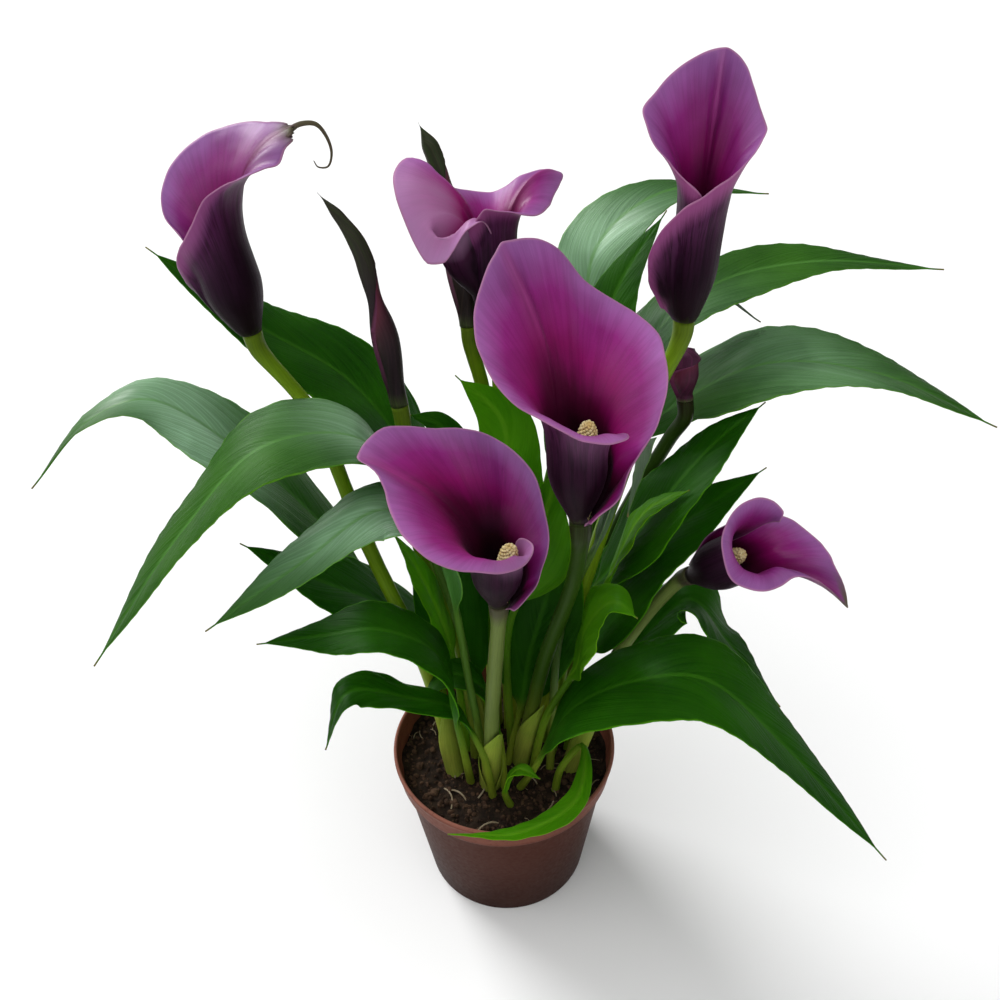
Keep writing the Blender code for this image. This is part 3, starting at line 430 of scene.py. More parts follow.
def unrolled(radius, sides):
    """How far each point of a tube lies round from its seam, so that a pattern meets itself there."""
    turns = around(sides)
    return radius[:, None] * np.where(turns < math.pi, turns, 2 * math.pi - turns)[None]


def ring_quads(rings, sides):
    """Quads between rings of points, closed round."""
    faces = []
    for i in range(rings - 1):
        for k in range(sides):
            j = (k + 1) % sides
            faces.append((i * sides + k, i * sides + j, (i + 1) * sides + j, (i + 1) * sides + k))
    return faces


def tube_faces(rings, sides, flip=False):
    """Quads between rings of points, closed round, with a flat cap at each end."""
    last = (rings - 1) * sides
    caps = [tuple(reversed(range(sides))), tuple(range(last, last + sides))]
    faces = ring_quads(rings, sides) + caps
    return [tuple(reversed(f)) for f in faces] if flip else faces


def new_object(name, data):
    item = bpy.data.objects.new(name, data)
    bpy.context.scene.collection.objects.link(item)
    return item


def new_mesh(name, points, faces):
    """A smooth-shaded mesh from points in millimetres."""
    mesh = bpy.data.meshes.new(name)
    mesh.from_pydata((np.asarray(points, float).reshape(-1, 3) * MM).tolist(), [], faces)
    mesh.shade_smooth()
    return mesh


def settle(item, replaced=()):
    """Hang the piece from the root body and hide the model's pieces that it replaces."""
    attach(item, "root")
    if replaced:
        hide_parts(*replaced)


def add_piece(name, points, faces, material, replaced=(), values=None):
    """A visible piece from points in millimetres, with named point values that its material reads."""
    mesh = new_mesh(name, points, faces)
    for key, data in (values or {}).items():
        data = np.asarray(data, np.float32)
        single = data.size == len(mesh.vertices)
        made = mesh.attributes.new(key, "FLOAT" if single else "FLOAT_VECTOR", "POINT")
        made.data.foreach_set("value" if single else "vector", data.ravel())
    mesh.materials.append(material)
    item = new_object(name, mesh)
    settle(item, replaced)
    return item


class Nodes:
    """A node tree, with short names for the nodes used most. A value is a socket or a number."""

    def __init__(self, tree):
        self.tree = tree

    def node(self, kind, inputs=None, **settings):
        made = self.tree.nodes.new(kind)
        for key, value in settings.items():
            setattr(made, key, value)
        for key, value in (inputs or {}).items():
            if isinstance(value, bpy.types.NodeSocket):
                self.tree.links.new(value, made.inputs[key])
            else:
                made.inputs[key].default_value = value
        return made

    def out(self, kind, inputs=None, **settings):
        return self.node(kind, inputs, **settings).outputs[0]

    def link(self, start, end):
        self.tree.links.new(start, end)

    def maths(self, operation, a, b=0.0, c=0.0):
        return self.out("ShaderNodeMath", {0: a, 1: b, 2: c}, operation=operation)

    def times(self, first, *others):
        for other in others:
            first = self.maths("MULTIPLY", first, other)
        return first

    def plus(self, first, *others):
        for other in others:
            first = self.maths("ADD", first, other)
        return first

    def spread(self, value, low, high, out_low=0.0, out_high=1.0, kind="SMOOTHSTEP"):
        """Remap a value from low..high to out_low..out_high."""
        return self.out("ShaderNodeMapRange", {0: value, 1: low, 2: high, 3: out_low, 4: out_high},
                        interpolation_type=kind)

    def fade(self, value, low, high, strength=1.0):
        """Strength at low and nothing from high on."""
        return self.spread(value, low, high, strength, 0.0)

    def blend(self, share, a, b, mode="MIX"):
        """Mix two colours, given as sockets or as three numbers."""
        a, b = (c if isinstance(c, bpy.types.NodeSocket) else (*c, 1.0) for c in (a, b))
        made = self.node("ShaderNodeMix", {0: share, 6: a, 7: b}, data_type="RGBA", blend_type=mode)
        return made.outputs[2]

    def ramp(self, value, stops):
        """A colour ramp with these (position, colour) stops."""
        made = self.node("ShaderNodeValToRGB", {0: value})
        band = made.color_ramp
        while len(band.elements) < len(stops):
            band.elements.new(0.5)
        for element, (position, colour) in zip(band.elements, stops):
            element.position = position
            element.color = (*colour, 1.0)
        return made.outputs[0]

    def read(self, name, output="Fac"):
        """A named value of the mesh's points."""
        return self.node("ShaderNodeAttribute", attribute_name=name).outputs[output]

    def parts(self, vector):
        return list(self.node("ShaderNodeSeparateXYZ", {0: vector}).outputs)

    def vector(self, x=0.0, y=0.0, z=0.0):
        return self.out("ShaderNodeCombineXYZ", {0: x, 1: y, 2: z})

    def place(self):
        return self.node("ShaderNodeTexCoord").outputs["Object"]

    def use(self, group, **inputs):
        return self.node("ShaderNodeGroup", inputs, node_tree=group).outputs

    def random(self, low, high, seed):
        """A random number between two numbers, or a random vector between two vectors."""
        vector = isinstance(low, tuple)
        first = 0 if vector else 2
        made = self.node("FunctionNodeRandomValue", {first: low, first + 1: high, "Seed": seed},
                         data_type="FLOAT_VECTOR" if vector else "FLOAT")
        return made.outputs[0 if vector else 1]


def new_group(name, kind, inputs, outputs):
    """An empty node group. An input has a default number or a kind of socket, and an output a kind."""
    tree = bpy.data.node_groups.new(name, kind)
    for label, value in inputs.items():
        socket_kind = {int: "Int", float: "Float", str: value}[type(value)]
        socket = tree.interface.new_socket(label, in_out="INPUT", socket_type="NodeSocket" + socket_kind)
        if not isinstance(value, str):
            socket.default_value = value
    for label, socket_kind in outputs.items():
        tree.interface.new_socket(label, in_out="OUTPUT", socket_type="NodeSocket" + socket_kind)
    g = Nodes(tree)
    return g, g.node("NodeGroupInput").outputs, g.node("NodeGroupOutput").inputs


def make_vein_group():
    """Fine lines that run lengthwise: the first coordinate crosses them and the second follows them."""
    g, given, result = new_group("veins", "ShaderNodeTree",
                                 {"Lay": "Vector", "Spacing": 1.5, "Stretch": 30.0, "Width": 0.10},
                                 {"Lines": "Float", "Soft": "Float"})
    crossing, following, _ = g.parts(given["Lay"])
    place = g.vector(g.maths("DIVIDE", crossing, given["Spacing"]),
                     g.maths("DIVIDE", following, given["Stretch"]))
    grain = g.out("ShaderNodeTexNoise", {"Vector": place, "Scale": 1.0, "Detail": 3.0, "Roughness": 0.6})
    off = g.maths("ABSOLUTE", g.maths("SUBTRACT", grain, 0.5))
    g.link(g.fade(off, 0.0, given["Width"]), result["Lines"])
    g.link(grain, result["Soft"])
    return g.tree


def make_mottle_group():
    """Patchy variation over the surface, coarse and fine together."""
    g, given, result = new_group("mottle", "ShaderNodeTree", {"Size": 20.0, "Contrast": 0.3},
                                 {"Patch": "Float", "Grain": "Float"})
    place = g.place()
    scale = g.maths("DIVIDE", 1 / MM, given["Size"])
    coarse = g.out("ShaderNodeTexNoise", {"Vector": place, "Scale": scale, "Detail": 2.0})
    fine = g.out("ShaderNodeTexNoise", {"Vector": place, "Scale": g.times(scale, 14.0), "Detail": 3.0})
    low = g.maths("SUBTRACT", 0.5, given["Contrast"])
    g.link(g.spread(coarse, low, g.plus(0.5, given["Contrast"])), result["Patch"])
    g.link(fine, result["Grain"])
    return g.tree


VEINS = make_vein_group()
MOTTLE = make_mottle_group()


class Finish(Nodes):
    """A material in the making: its shader, and the colour painted so far."""

    def __init__(self, name, **constants):
        self.material = bpy.data.materials.new(name)
        self.material.use_nodes = True
        super().__init__(self.material.node_tree)
        self.shader = self.tree.nodes["Principled BSDF"]
        self.colour = None
        for key, value in constants.items():
            self.shader.inputs[key.replace("_", " ")].default_value = value

    def paint(self, layer, colour, *shares, mode="MIX"):
        """Lay a named layer over the colour so far, as strongly as the product of the shares."""
        self.colour = self.blend(self.times(*shares), self.colour, colour, mode)
        self.colour.node.label = layer

    def let_light_through(self, colour, share):
        """Some of the light behind a thin sheet comes through it, tinted."""
        through = self.out("ShaderNodeBsdfTranslucent", {"Color": colour})
        mixed = self.out("ShaderNodeMixShader", {0: share, 1: self.shader.outputs[0], 2: through})
        self.link(mixed, self.tree.nodes["Material Output"].inputs["Surface"])

    def done(self, relief=None, strength=0.0, depth=0.0, **driven):
        """Link the colour and the driven sockets, raise the relief and give the material."""
        self.link(self.colour, self.shader.inputs["Base Color"])
        for key, value in driven.items():
            self.link(value, self.shader.inputs[key.replace("_", " ")])
        if relief is not None:
            raised = self.out("ShaderNodeBump", {"Height": relief, "Strength": strength, "Distance": depth})
            self.link(raised, self.shader.inputs["Normal"])
        return self.material


def leaf_material(name, deep, fresh, vein, under, glow, roughness, through, gloss, tint=(0.4, 1.0, 0.3),
                  painted_glare=0.0):
    """A calla leaf: lighter and darker green in patches, side veins, a midrib, a pale edge and stalk, and
    on some blades a painted silvery glare.
    """
    m = Finish(name, Roughness=roughness, Specular_IOR_Level=gloss, Coat_Roughness=0.34,
               Specular_Tint=(*tint, 1.0))
    lay = m.read("lay", "Vector")
    below, blade, gleam = m.read("under"), m.read("blade"), m.read("gleam")
    _, offset, edge = m.parts(lay)
    height = m.parts(m.place())[2]
    patch, grain = m.use(MOTTLE, Size=34.0, Contrast=0.22)
    lines, soft = m.use(VEINS, Lay=lay, Spacing=1.5, Stretch=60.0, Width=0.07)
    wide_lines, wide_soft = m.use(VEINS, Lay=lay, Spacing=6.0, Stretch=90.0, Width=0.05)
    stalk = m.fade(blade, 0.0, 0.10)
    m.colour = m.blend(patch, deep, fresh)
    m.paint("fresh streaks", fresh, m.spread(wide_soft, 0.38, 0.66), 0.45)
    # Painted highlight: pale silvery glare where the window light catches the blade
    m.paint("painted silvery glare", (0.50, 0.82, 0.55), m.spread(patch, 0.2, 0.8, 0.75, 1.0),
            m.spread(wide_soft, 0.3, 0.7, 0.6, 1.0), gleam, painted_glare)
    m.paint("fine veins", vein, lines, 0.15)
    m.paint("side veins", vein, wide_lines, 0.16)
    m.paint("underside", under, below, 0.75)
    rib = m.fade(m.maths("ABSOLUTE", offset), 0.5, 1.7)
    m.paint("midrib", vein, rib, m.spread(blade, 0.75, 1.0, 1.0, 0.2), 0.55)
    m.paint("edge", glow, m.spread(edge, 0.965, 1.0), 0.5)
    m.paint("stalk", (0.075, 0.16, 0.012), stalk, 0.8)
    m.paint("foot", (0.27, 0.33, 0.03), m.fade(height, 0.085, 0.15), stalk, 0.75)
    m.paint("dull end", (0.42, 0.55, 0.36), m.spread(blade, 0.5, 0.95, 0.0, 0.55), mode="MULTIPLY")
    m.paint("dry tip", (0.20, 0.15, 0.05), m.spread(blade, 0.975, 0.998))
    m.let_light_through((*glow, 1.0), through)
    shine = m.plus(m.maths("MULTIPLY_ADD", grain, 0.16, roughness - 0.08), m.times(below, 0.12))
    wax = m.times(gleam, m.spread(wide_soft, 0.3, 0.7, 0.3, 0.75))
    relief = m.plus(wide_soft, m.times(soft, 0.12), m.times(grain, 0.03))
    return m.done(relief, 0.5, 0.0016, Roughness=shine, Coat_Weight=wax)


def spathe_material():
    """The spathe: near-black throat, magenta limb, lilac margin, partly painted light shining through it;
    outside, a dark veined tube. Painted shade darkens a crease up the inside and each flower's tip and
    right side, and a painted highlight lightens some left lobes.
    """
    m = Finish("silky purple", Roughness=0.45, Specular_IOR_Level=0.12, Sheen_Weight=0.05,
               Sheen_Roughness=0.45, Coat_Roughness=0.36, Sheen_Tint=(0.9, 0.55, 0.85, 1.0),
               Specular_Tint=(1.0, 0.55, 0.95, 1.0))
    lay = m.read("lay", "Vector")
    up, inside, margin = m.read("up"), m.read("inside"), m.read("margin")
    turn, _, shade = m.parts(lay)
    patch, grain = m.use(MOTTLE, Size=26.0, Contrast=0.25)
    glint = m.use(MOTTLE, Size=1.6, Contrast=0.2)["Grain"]
    lines, soft = m.use(VEINS, Lay=lay, Spacing=2.1, Stretch=0.9, Width=0.06)
    broad = m.use(VEINS, Lay=lay, Spacing=9.0, Stretch=0.8, Width=0.06)["Soft"]
    drift = m.maths("MULTIPLY_ADD", m.maths("SUBTRACT", broad, 0.5), 0.16, up)
    inner = m.ramp(drift, [(0.0, (0.007, 0.0002, 0.002)), (0.38, (0.020, 0.0003, 0.006)),
                           (0.50, (0.100, 0.0006, 0.032)), (0.66, (0.350, 0.0030, 0.155)),
                           (0.83, (0.430, 0.0270, 0.290)), (1.0, (0.560, 0.2000, 0.600))])
    outer = m.ramp(drift, [(0.0, (0.030, 0.045, 0.004)), (0.05, (0.010, 0.004, 0.003)),
                           (0.36, (0.012, 0.0015, 0.007)), (0.60, (0.038, 0.0070, 0.028)),
                           (0.82, (0.120, 0.022, 0.092)), (1.0, (0.30, 0.105, 0.28))])
    wander = m.maths("ABSOLUTE", m.plus(turn, m.times(broad, 1.2)))
    m.colour = m.blend(inside, outer, inner)
    # Painted shade: a dark band up the inside along the middle of the sheet, fading upwards
    m.paint("painted crease shade", (0.085, 0.0008, 0.028), m.fade(wander, 3.0, 13.0),
            m.spread(up, 0.45, 0.85, 1.0, 0.25), m.spread(inside, 0.0, 1.0, 0.0, 0.6))
    m.paint("clouds", (0.60, 0.35, 0.50), m.spread(patch, 0.35, 0.75),
            m.spread(inside, 0.0, 1.0, 0.1, 0.30), mode="MULTIPLY")
    m.paint("midrib", (0.46, 0.075, 0.27), m.fade(wander, 0.2, 2.2),
            m.spread(up, 0.55, 0.9, 0.0, 0.45), inside)
    m.paint("dark veins", (0.02, 0.002, 0.015), lines, m.spread(inside, 0.0, 1.0, 0.8, 0.14),
            mode="MULTIPLY")
    m.paint("pale veins", (0.30, 0.08, 0.27), m.spread(soft, 0.5, 0.75), m.spread(up, 0.5, 0.95, 0.0, 0.2))
    # Lilac margin band: partly the margin's own colour, partly painted light shining through the thin
    # margin
    m.paint("lilac band", (0.44, 0.160, 0.440), m.fade(margin, 0.3, 7.0),
            m.spread(up, 0.3, 0.7, 0.5, 0.8), 0.4)
    m.paint("flush outside", (0.50, 0.12, 0.33), m.fade(margin, 1.0, 12.0),
            m.fade(inside, 0.0, 0.5, 0.85), m.spread(up, 0.12, 0.4))
    # Painted shade over each flower, more towards its tip and on its right side
    m.paint("painted shade", (0.56, 0.58, 0.66), m.spread(shade, 0.0, 1.0, kind="LINEAR"), mode="MULTIPLY")
    # Painted highlight: a pale lilac sheen over a flower's left lobe
    m.paint("painted lilac highlight", (0.50, 0.28, 0.47), m.spread(shade, -1.0, 0.0, 1.0, 0.0, "LINEAR"),
            m.spread(broad, 0.2, 0.8, 0.7, 1.0))
    m.paint("lip", (0.50, 0.22, 0.38), m.fade(margin, 0.25, 0.9), 0.7)
    m.paint("green tip", (0.10, 0.10, 0.045), m.read("tip"))
    m.let_light_through(m.blend(m.spread(up, 0.4, 0.9), (0.20, 0.018, 0.11), (0.43, 0.08, 0.34)), 0.2)
    silk = m.times(m.spread(up, 0.45, 0.8, 0.03, 0.32), m.spread(inside, 0.0, 1.0, 0.3, 1.0),
                   m.spread(glint, 0.44, 0.66, 0.5, 2.1))
    relief = m.plus(m.times(soft, 0.5), m.times(broad, 0.6), m.times(glint, 0.10))
    rough = m.maths("MULTIPLY_ADD", grain, 0.2, 0.36)
    return m.done(relief, 0.4, 0.0008, Roughness=rough, Coat_Weight=silk)


def stem_material(name, low, middle, high, flush):
    """A fleshy stem: pale at the soil, green above and tinted under the flower."""
    m = Finish(name, Roughness=0.42, Specular_IOR_Level=0.14, Subsurface_Weight=0.12,
               Specular_Tint=(0.7, 1.0, 0.5, 1.0), Subsurface_Radius=(0.004, 0.006, 0.002))
    patch, grain = m.use(MOTTLE, Size=14.0, Contrast=0.25)
    lines, soft = m.use(VEINS, Lay=m.read("lay", "Vector"), Spacing=0.9, Stretch=40.0, Width=0.08)
    m.colour = m.ramp(m.read("along"), [(0.0, low), (0.16, low), (0.4, middle), (0.92, high),
                                        (0.975, flush)])
    m.paint("patches", high, patch, 0.35)
    m.paint("fine lines", (0.03, 0.06, 0.01), lines, 0.25)
    relief = m.plus(m.times(soft, 0.8), m.times(grain, 0.1))
    return m.done(relief, 0.35, 0.0006, Roughness=m.maths("MULTIPLY_ADD", grain, 0.2, 0.3))


def bud_material(name, skin, streak, edge, tip):
    """A rolled spathe, not open yet: dark, with a lighter edge where the roll ends."""
    m = Finish(name, Roughness=0.5, Specular_IOR_Level=0.2)
    lay = m.read("lay", "Vector")
    grain = m.use(MOTTLE, Size=12.0, Contrast=0.25)["Grain"]
    lines, soft = m.use(VEINS, Lay=lay, Spacing=1.3, Stretch=50.0, Width=0.08)
    m.colour = m.ramp(m.read("along"), [(0.0, (0.06, 0.09, 0.02)), (0.07, skin), (0.52, skin), (0.78, tip),
                                        (1.0, tip)])
    m.paint("streaks", streak, m.spread(soft, 0.4, 0.7), 0.5)
    m.paint("dark lines", (0.01, 0.006, 0.008), lines, 0.45)
    m.paint("turned strip", (0.19, 0.028, 0.060), m.parts(lay)[2], 0.75)
    m.paint("roll's edge", edge, m.read("seam"))
    relief = m.plus(soft, m.times(grain, 0.1))
    return m.done(relief, 0.4, 0.0008, Roughness=m.maths("MULTIPLY_ADD", grain, 0.2, 0.4))


def spadix_material():
    """Pollen-yellow florets with darker gaps."""
    m = Finish("pollen yellow", Roughness=0.75, Specular_IOR_Level=0.2)
    patch, grain = m.use(MOTTLE, Size=3.0, Contrast=0.25)
    m.colour = m.blend(patch, (0.66, 0.46, 0.15), (0.93, 0.82, 0.46))
    m.paint("pollen", (0.9, 0.82, 0.6), m.spread(grain, 0.45, 0.7), 0.5)
    return m.done(grain, 0.6, 0.0004)


def pot_material():
    """Thin moulded plastic: a wall that darkens towards the bottom under a collar made paler by painted
    light, a painted highlight along the lip, patches, dust, stains and faint lines from the mould.
    """
    m = Finish("brown plastic", Roughness=0.5, Specular_IOR_Level=0.07,
               Specular_Tint=(1.0, 0.70, 0.58, 1.0))
    place = m.place()
    height = m.parts(place)[2]
    patch, grain = m.use(MOTTLE, Size=30.0, Contrast=0.2)
    speck = m.use(MOTTLE, Size=5.0, Contrast=0.12)["Grain"]
    m.colour = m.blend(m.spread(height, 0.0, 0.075), (0.024, 0.0052, 0.0026), (0.058, 0.0135, 0.0066))
    # Painted light: the collar paler than the wall below it, where it catches the light
    m.paint("collar", (0.180, 0.058, 0.037), m.spread(height, 0.074, 0.080))
    # Painted highlight along the top of the lip
    m.paint("painted lip highlight", (0.30, 0.125, 0.092), m.spread(height, 0.0885, 0.0898), 0.7)
    m.paint("patches", (0.075, 0.028, 0.020), patch, 0.25)
    m.paint("dust", (0.16, 0.07, 0.05), m.spread(speck, 0.52, 0.72), 0.09)
    m.paint("stains", (0.028, 0.010, 0.007), m.spread(grain, 0.55, 0.75), 0.3)
    flattened = m.out("ShaderNodeMapping", {"Vector": place, "Scale": (0.02, 0.02, 1.0)})
    turned = m.out("ShaderNodeTexNoise", {"Vector": flattened, "Scale": 900.0, "Detail": 2.0})
    relief = m.plus(turned, m.times(speck, 0.15))
    return m.done(relief, 0.08, 0.0005, Roughness=m.maths("MULTIPLY_ADD", grain, 0.3, 0.34))


def soil_material(name, dark, light, share):
    """Dark peat, with paler crumbs and specks."""
    m = Finish(name, Roughness=0.95, Specular_IOR_Level=0.15)
    patch, grain = m.use(MOTTLE, Size=4.0, Contrast=0.2)
    m.colour = m.blend(m.times(patch, share), dark, light)
    m.paint("specks", light, m.spread(grain, 0.5, 0.75), share)
    return m.done(grain, 0.8, 0.0008)


def floor_material():
    m = Finish("pale floor", Roughness=0.7, Specular_IOR_Level=0.2)
    m.colour = m.blend(m.use(MOTTLE, Size=300.0, Contrast=0.3)["Patch"], (0.86,) * 3, (0.88,) * 3)
    return m.done()


# Copies of one leaf material, coloured for how light falls on each leaf: the silver finish is the leaves'
# own green lightened as painted highlight, the deep finish is their own green darkened as painted shade,
# the bright finish is lightened as painted light shining through a backlit blade, and the grey finish is a
# greyer green
LEAF_FINISH = {
    "silver": leaf_material("silvery green leaf", deep=(0.010, 0.056, 0.003), fresh=(0.036, 0.130, 0.008),
                            vein=(0.11, 0.29, 0.060), under=(0.045, 0.16, 0.020), glow=(0.16, 0.46, 0.015),
                            roughness=0.40, through=0.20, gloss=0.06, tint=(0.62, 1.0, 0.66), painted_glare=0.8),
    "deep": leaf_material("deep green leaf", deep=(0.003, 0.032, 0.001), fresh=(0.018, 0.100, 0.002),
                          vein=(0.050, 0.19, 0.010), under=(0.024, 0.12, 0.004), glow=(0.14, 0.50, 0.006),
                          roughness=0.42, through=0.22, gloss=0.07),
    "bright": leaf_material("young green leaf", deep=(0.026, 0.140, 0.002), fresh=(0.085, 0.290, 0.004),
                            vein=(0.19, 0.43, 0.02), under=(0.10, 0.28, 0.008), glow=(0.30, 0.68, 0.008),
                            roughness=0.40, through=0.38, gloss=0.15),
    "grey": leaf_material("grey-green leaf", deep=(0.030, 0.065, 0.028), fresh=(0.06, 0.115, 0.05),
                          vein=(0.13, 0.21, 0.10), under=(0.07, 0.13, 0.06), glow=(0.15, 0.34, 0.04),
                          roughness=0.42, through=0.16, gloss=0.45, tint=(0.8, 1.0, 0.8)),
}
# Every other leaf is deep green, darkened as painted shade
LEAF_LOOK = {
    "silver": ("leaf_front_left", "leaf_far_left", "leaf_mid_left", "leaf_right", "leaf_upper_right",
               "leaf_back"),
    "bright": ("leaf_bright_centre", "leaf_bright_small", "leaf_yellow_edge", "leaf_curled_small",
               "leaf_over_rim", "leaf_bright_strip", "leaf_sprout"),
    "grey": ("leaf_folded_right", "leaf_sliver"),
}
# Where a leaf has its coat and, on the silvery leaves, its painted silvery glare: the middle and the spread
# along its blade, and the strength
LEAF_GLEAM = {
    "leaf_far_left": (0.55, 0.20, 1.5), "leaf_front_left": (0.16, 0.18, 0.9),
    "leaf_mid_left": (0.50, 0.45, 0.9), "leaf_right": (0.50, 0.30, 0.5),
    "leaf_upper_right": (0.25, 0.25, 0.4), "leaf_back": (0.45, 0.30, 0.9),
}
FAINT_GLEAM = (0.5, 0.5, 0.12)
STEM_FINISH = {
    "green": stem_material("green stem", (0.27, 0.33, 0.025), (0.150, 0.27, 0.007), (0.145, 0.26, 0.007),
                           (0.095, 0.150, 0.008)),
    "grey": stem_material("grey-green stem", (0.20, 0.24, 0.04), (0.120, 0.170, 0.035),
                          (0.130, 0.175, 0.042), (0.05, 0.028, 0.03)),
    # Painted shade: the green stem darkened, for the stems that stand in shade under the flowers
    "dark": stem_material("dark green stem", (0.14, 0.18, 0.02), (0.024, 0.066, 0.003),
                          (0.018, 0.045, 0.003), (0.012, 0.006, 0.004)),
}
STEM_LOOK = {"stem_front": "grey", "stem_right": "grey", "stem_centre": "dark", "stem_bud_hidden": "dark"}
SHEATH = stem_material("pale sheath", (0.30, 0.34, 0.05), (0.20, 0.33, 0.03), (0.14, 0.28, 0.02),
                       (0.14, 0.28, 0.02))
# The stem, the sheath's radius, the part of the stem that it wraps, and the way its point faces
SHEATHS = (("stem_front", 4.6, (0.02, 0.40), -1.2), ("stem_front", 5.6, (0.0, 0.24), 1.4),
           ("stem_centre", 4.7, (0.0, 0.30), -1.0), ("stem_left", 4.8, (0.0, 0.22), -0.4),
           ("stem_bud_left", 4.7, (0.0, 0.28), -2.2), ("stem_right", 4.7, (0.0, 0.3), -1.2))
SPATHE = spathe_material()
# For each flower: how much painted shade darkens it, how much more painted shade towards its tip, a painted
# lilac highlight on its left lobe when it is below 0, and how much painted shade darkens its right side
FLOWER_SHADE = {"centre": (0.0, 0.7, -0.15, 0.3), "front": (0.0, 0.25, -0.4, 0.9),
                "top_right": (0.6, 0.3, -0.2, 0.0), "left": (0.95, 0.1, 0.0, 0.0),
                "back": (0.4, 0.0, -1.1, 0.2), "right": (0.65, 0.2, 0.0, 0.0)}
GREEN_TIPPED = "right"
BUD_FINISH = {
    "left": bud_material("dark bud", (0.011, 0.005, 0.007), (0.030, 0.015, 0.019), (0.13, 0.03, 0.08),
                         (0.022, 0.030, 0.008)),
    "back": bud_material("brown bud", (0.018, 0.011, 0.009), (0.042, 0.026, 0.020), (0.22, 0.08, 0.14),
                         (0.022, 0.038, 0.008)),
    "hidden": bud_material("purple bud", (0.045, 0.003, 0.022), (0.09, 0.012, 0.05), (0.20, 0.04, 0.12),
                           (0.06, 0.006, 0.035)),
}
# Where the edge of a bud's roll starts and how far it winds, in radians
SEAM_TURN = (-3.1, 2.5)
# Each bud's pinch: its place along the bud and its depth
PINCH = {"left": (0.50, 0.24), "back": (0.68, 0.30), "hidden": (0.7, 0.0)}
SPADIX = spadix_material()
POT = pot_material()
SOIL = soil_material("dark peat", (0.010, 0.006, 0.004), (0.050, 0.030, 0.018), 0.5)
CRUMB = soil_material("peat crumbs", (0.020, 0.011, 0.007), (0.110, 0.062, 0.036), 0.8)
ROOT = soil_material("pale roots", (0.24, 0.18, 0.11), (0.42, 0.36, 0.25), 0.7)


def leaf_outline(b, widest):
    """The half width of the blade as a share of its widest, at each share of its length."""
    rising = np.sin(math.pi / 2 * np.minimum(1, b / widest)) ** 0.85
    u = np.maximum(0, (b - widest) / (1 - widest))
    falling = 0.96 * np.cos(math.pi / 2 * np.minimum(1, u / 0.95)).clip(0) ** 0.92 + 0.04 * (1 - u)
    return np.where(b < widest, rising, falling)


def build_leaf(name, leaf):
    """One leaf, from the foot of its petiole to the tip of its blade."""
    start, widest = leaf["blade"], leaf["widest"]
    in_blade = np.linspace(0, 1, BLADE_RINGS + 1)[1:] ** 0.92
    shares = np.concatenate([np.linspace(0, start, PETIOLE_RINGS), start + (1 - start) * in_blade])
    places, tangents, _, length = smooth_path(leaf["path"], shares)
    level = np.cross(UP, azimuth(leaf["face"]))
    across = unit(level - (tangents @ level)[:, None] * tangents)
    up = np.cross(tangents, across)
    b = np.clip((shares - start) / (1 - start), 0, 1)
    shape = leaf_outline(b, widest)
    radius = PETIOLE_FOOT + (PETIOLE_TOP - PETIOLE_FOOT) * np.minimum(1, shares / start)
    half = np.maximum.reduce([leaf["width"] / 2 * shape, radius * (1 - b) * (b < widest),
                              np.full(len(b), 0.3)])
    flat = ease(b / 0.14)
    fold = math.radians(leaf["fold"])
    bend = math.radians(leaf["curl"]) - fold
    even = np.linspace(-1, 1, LEAF_COLUMNS)
    sides = 0.65 * np.sin(even * math.pi / 2) + 0.35 * even
    rib = np.interp(b, [0, 0.3, 1.0], [PETIOLE_TOP, 1.0, 0.15])
    run = length * shares
    layers, lay = [], []
    for side, top in [(side, True) for side in sides] + [(side, False) for side in sides[::-1]]:
        share = abs(side)
        offset = half * side
        x = np.sign(side) * half * (math.sin(fold + bend * share) - math.sin(fold)) / bend
        z = half * (math.cos(fold) - math.cos(fold + bend * share)) / bend
        wave = 2 * math.pi * (WAVES * b + 0.3 * (side > 0) + 0.37 * leaf["width"])
        z = z + leaf["wave"] * share ** 2 * np.sin(wave) * flat * shape
        pleat = 2 * math.pi * (run - SIDE_VEIN_SLANT * abs(offset)) / PLEAT_LENGTH
        z = z + PLEAT * np.sin(pleat) * share * flat * shape
        thick = 0.36 + 0.30 * (1 - share ** 2)
        if top:
            z = z + thick / 2 - 0.45 * rib * np.exp(-(offset / (0.7 * rib + 0.3)) ** 2) * flat
            turn = math.pi * (0.5 - 0.49 * side)
        else:
            z = z - thick / 2 - 1.1 * rib * np.exp(-(offset / (rib + 0.1)) ** 2) * flat
            turn = math.pi * (1.5 + 0.49 * side)
        x = radius * math.cos(turn) * (1 - flat) + x * flat
        z = radius * math.sin(turn) * (1 - flat) + z * flat
        layers.append(places + across * x[:, None] + up * z[:, None])
        slant = run - SIDE_VEIN_SLANT * abs(offset) * (1 + 0.9 * share ** 2)
        lay.append(np.stack([slant, offset, np.full(len(b), share)], 1))
    points, lay = np.stack(layers, 1), np.stack(lay, 1)
    size = points.shape[:2]
    under = np.repeat([0.0, 1.0], LEAF_COLUMNS)[None] * each_row(b > 0.02, size)
    blade = each_row(b, size)
    # Where the painted silvery glare and the coat lie, in streaks across the blade
    centre, spread_out, strength = LEAF_GLEAM.get(name, FAINT_GLEAM)
    gleam = strength * np.exp(-((blade - centre) / spread_out) ** 2)
    gleam = gleam * (0.6 + 0.4 * np.sin(4.0 * lay[..., 1] / leaf["width"] + 8.0 * (blade - centre) + 1.0))
    look = next((look for look, names in LEAF_LOOK.items() if name in names), "deep")
    add_piece("fine_" + name, points, tube_faces(*size, flip=True), LEAF_FINISH[look], (name,),
              {"lay": lay, "under": under, "blade": blade, "gleam": gleam})


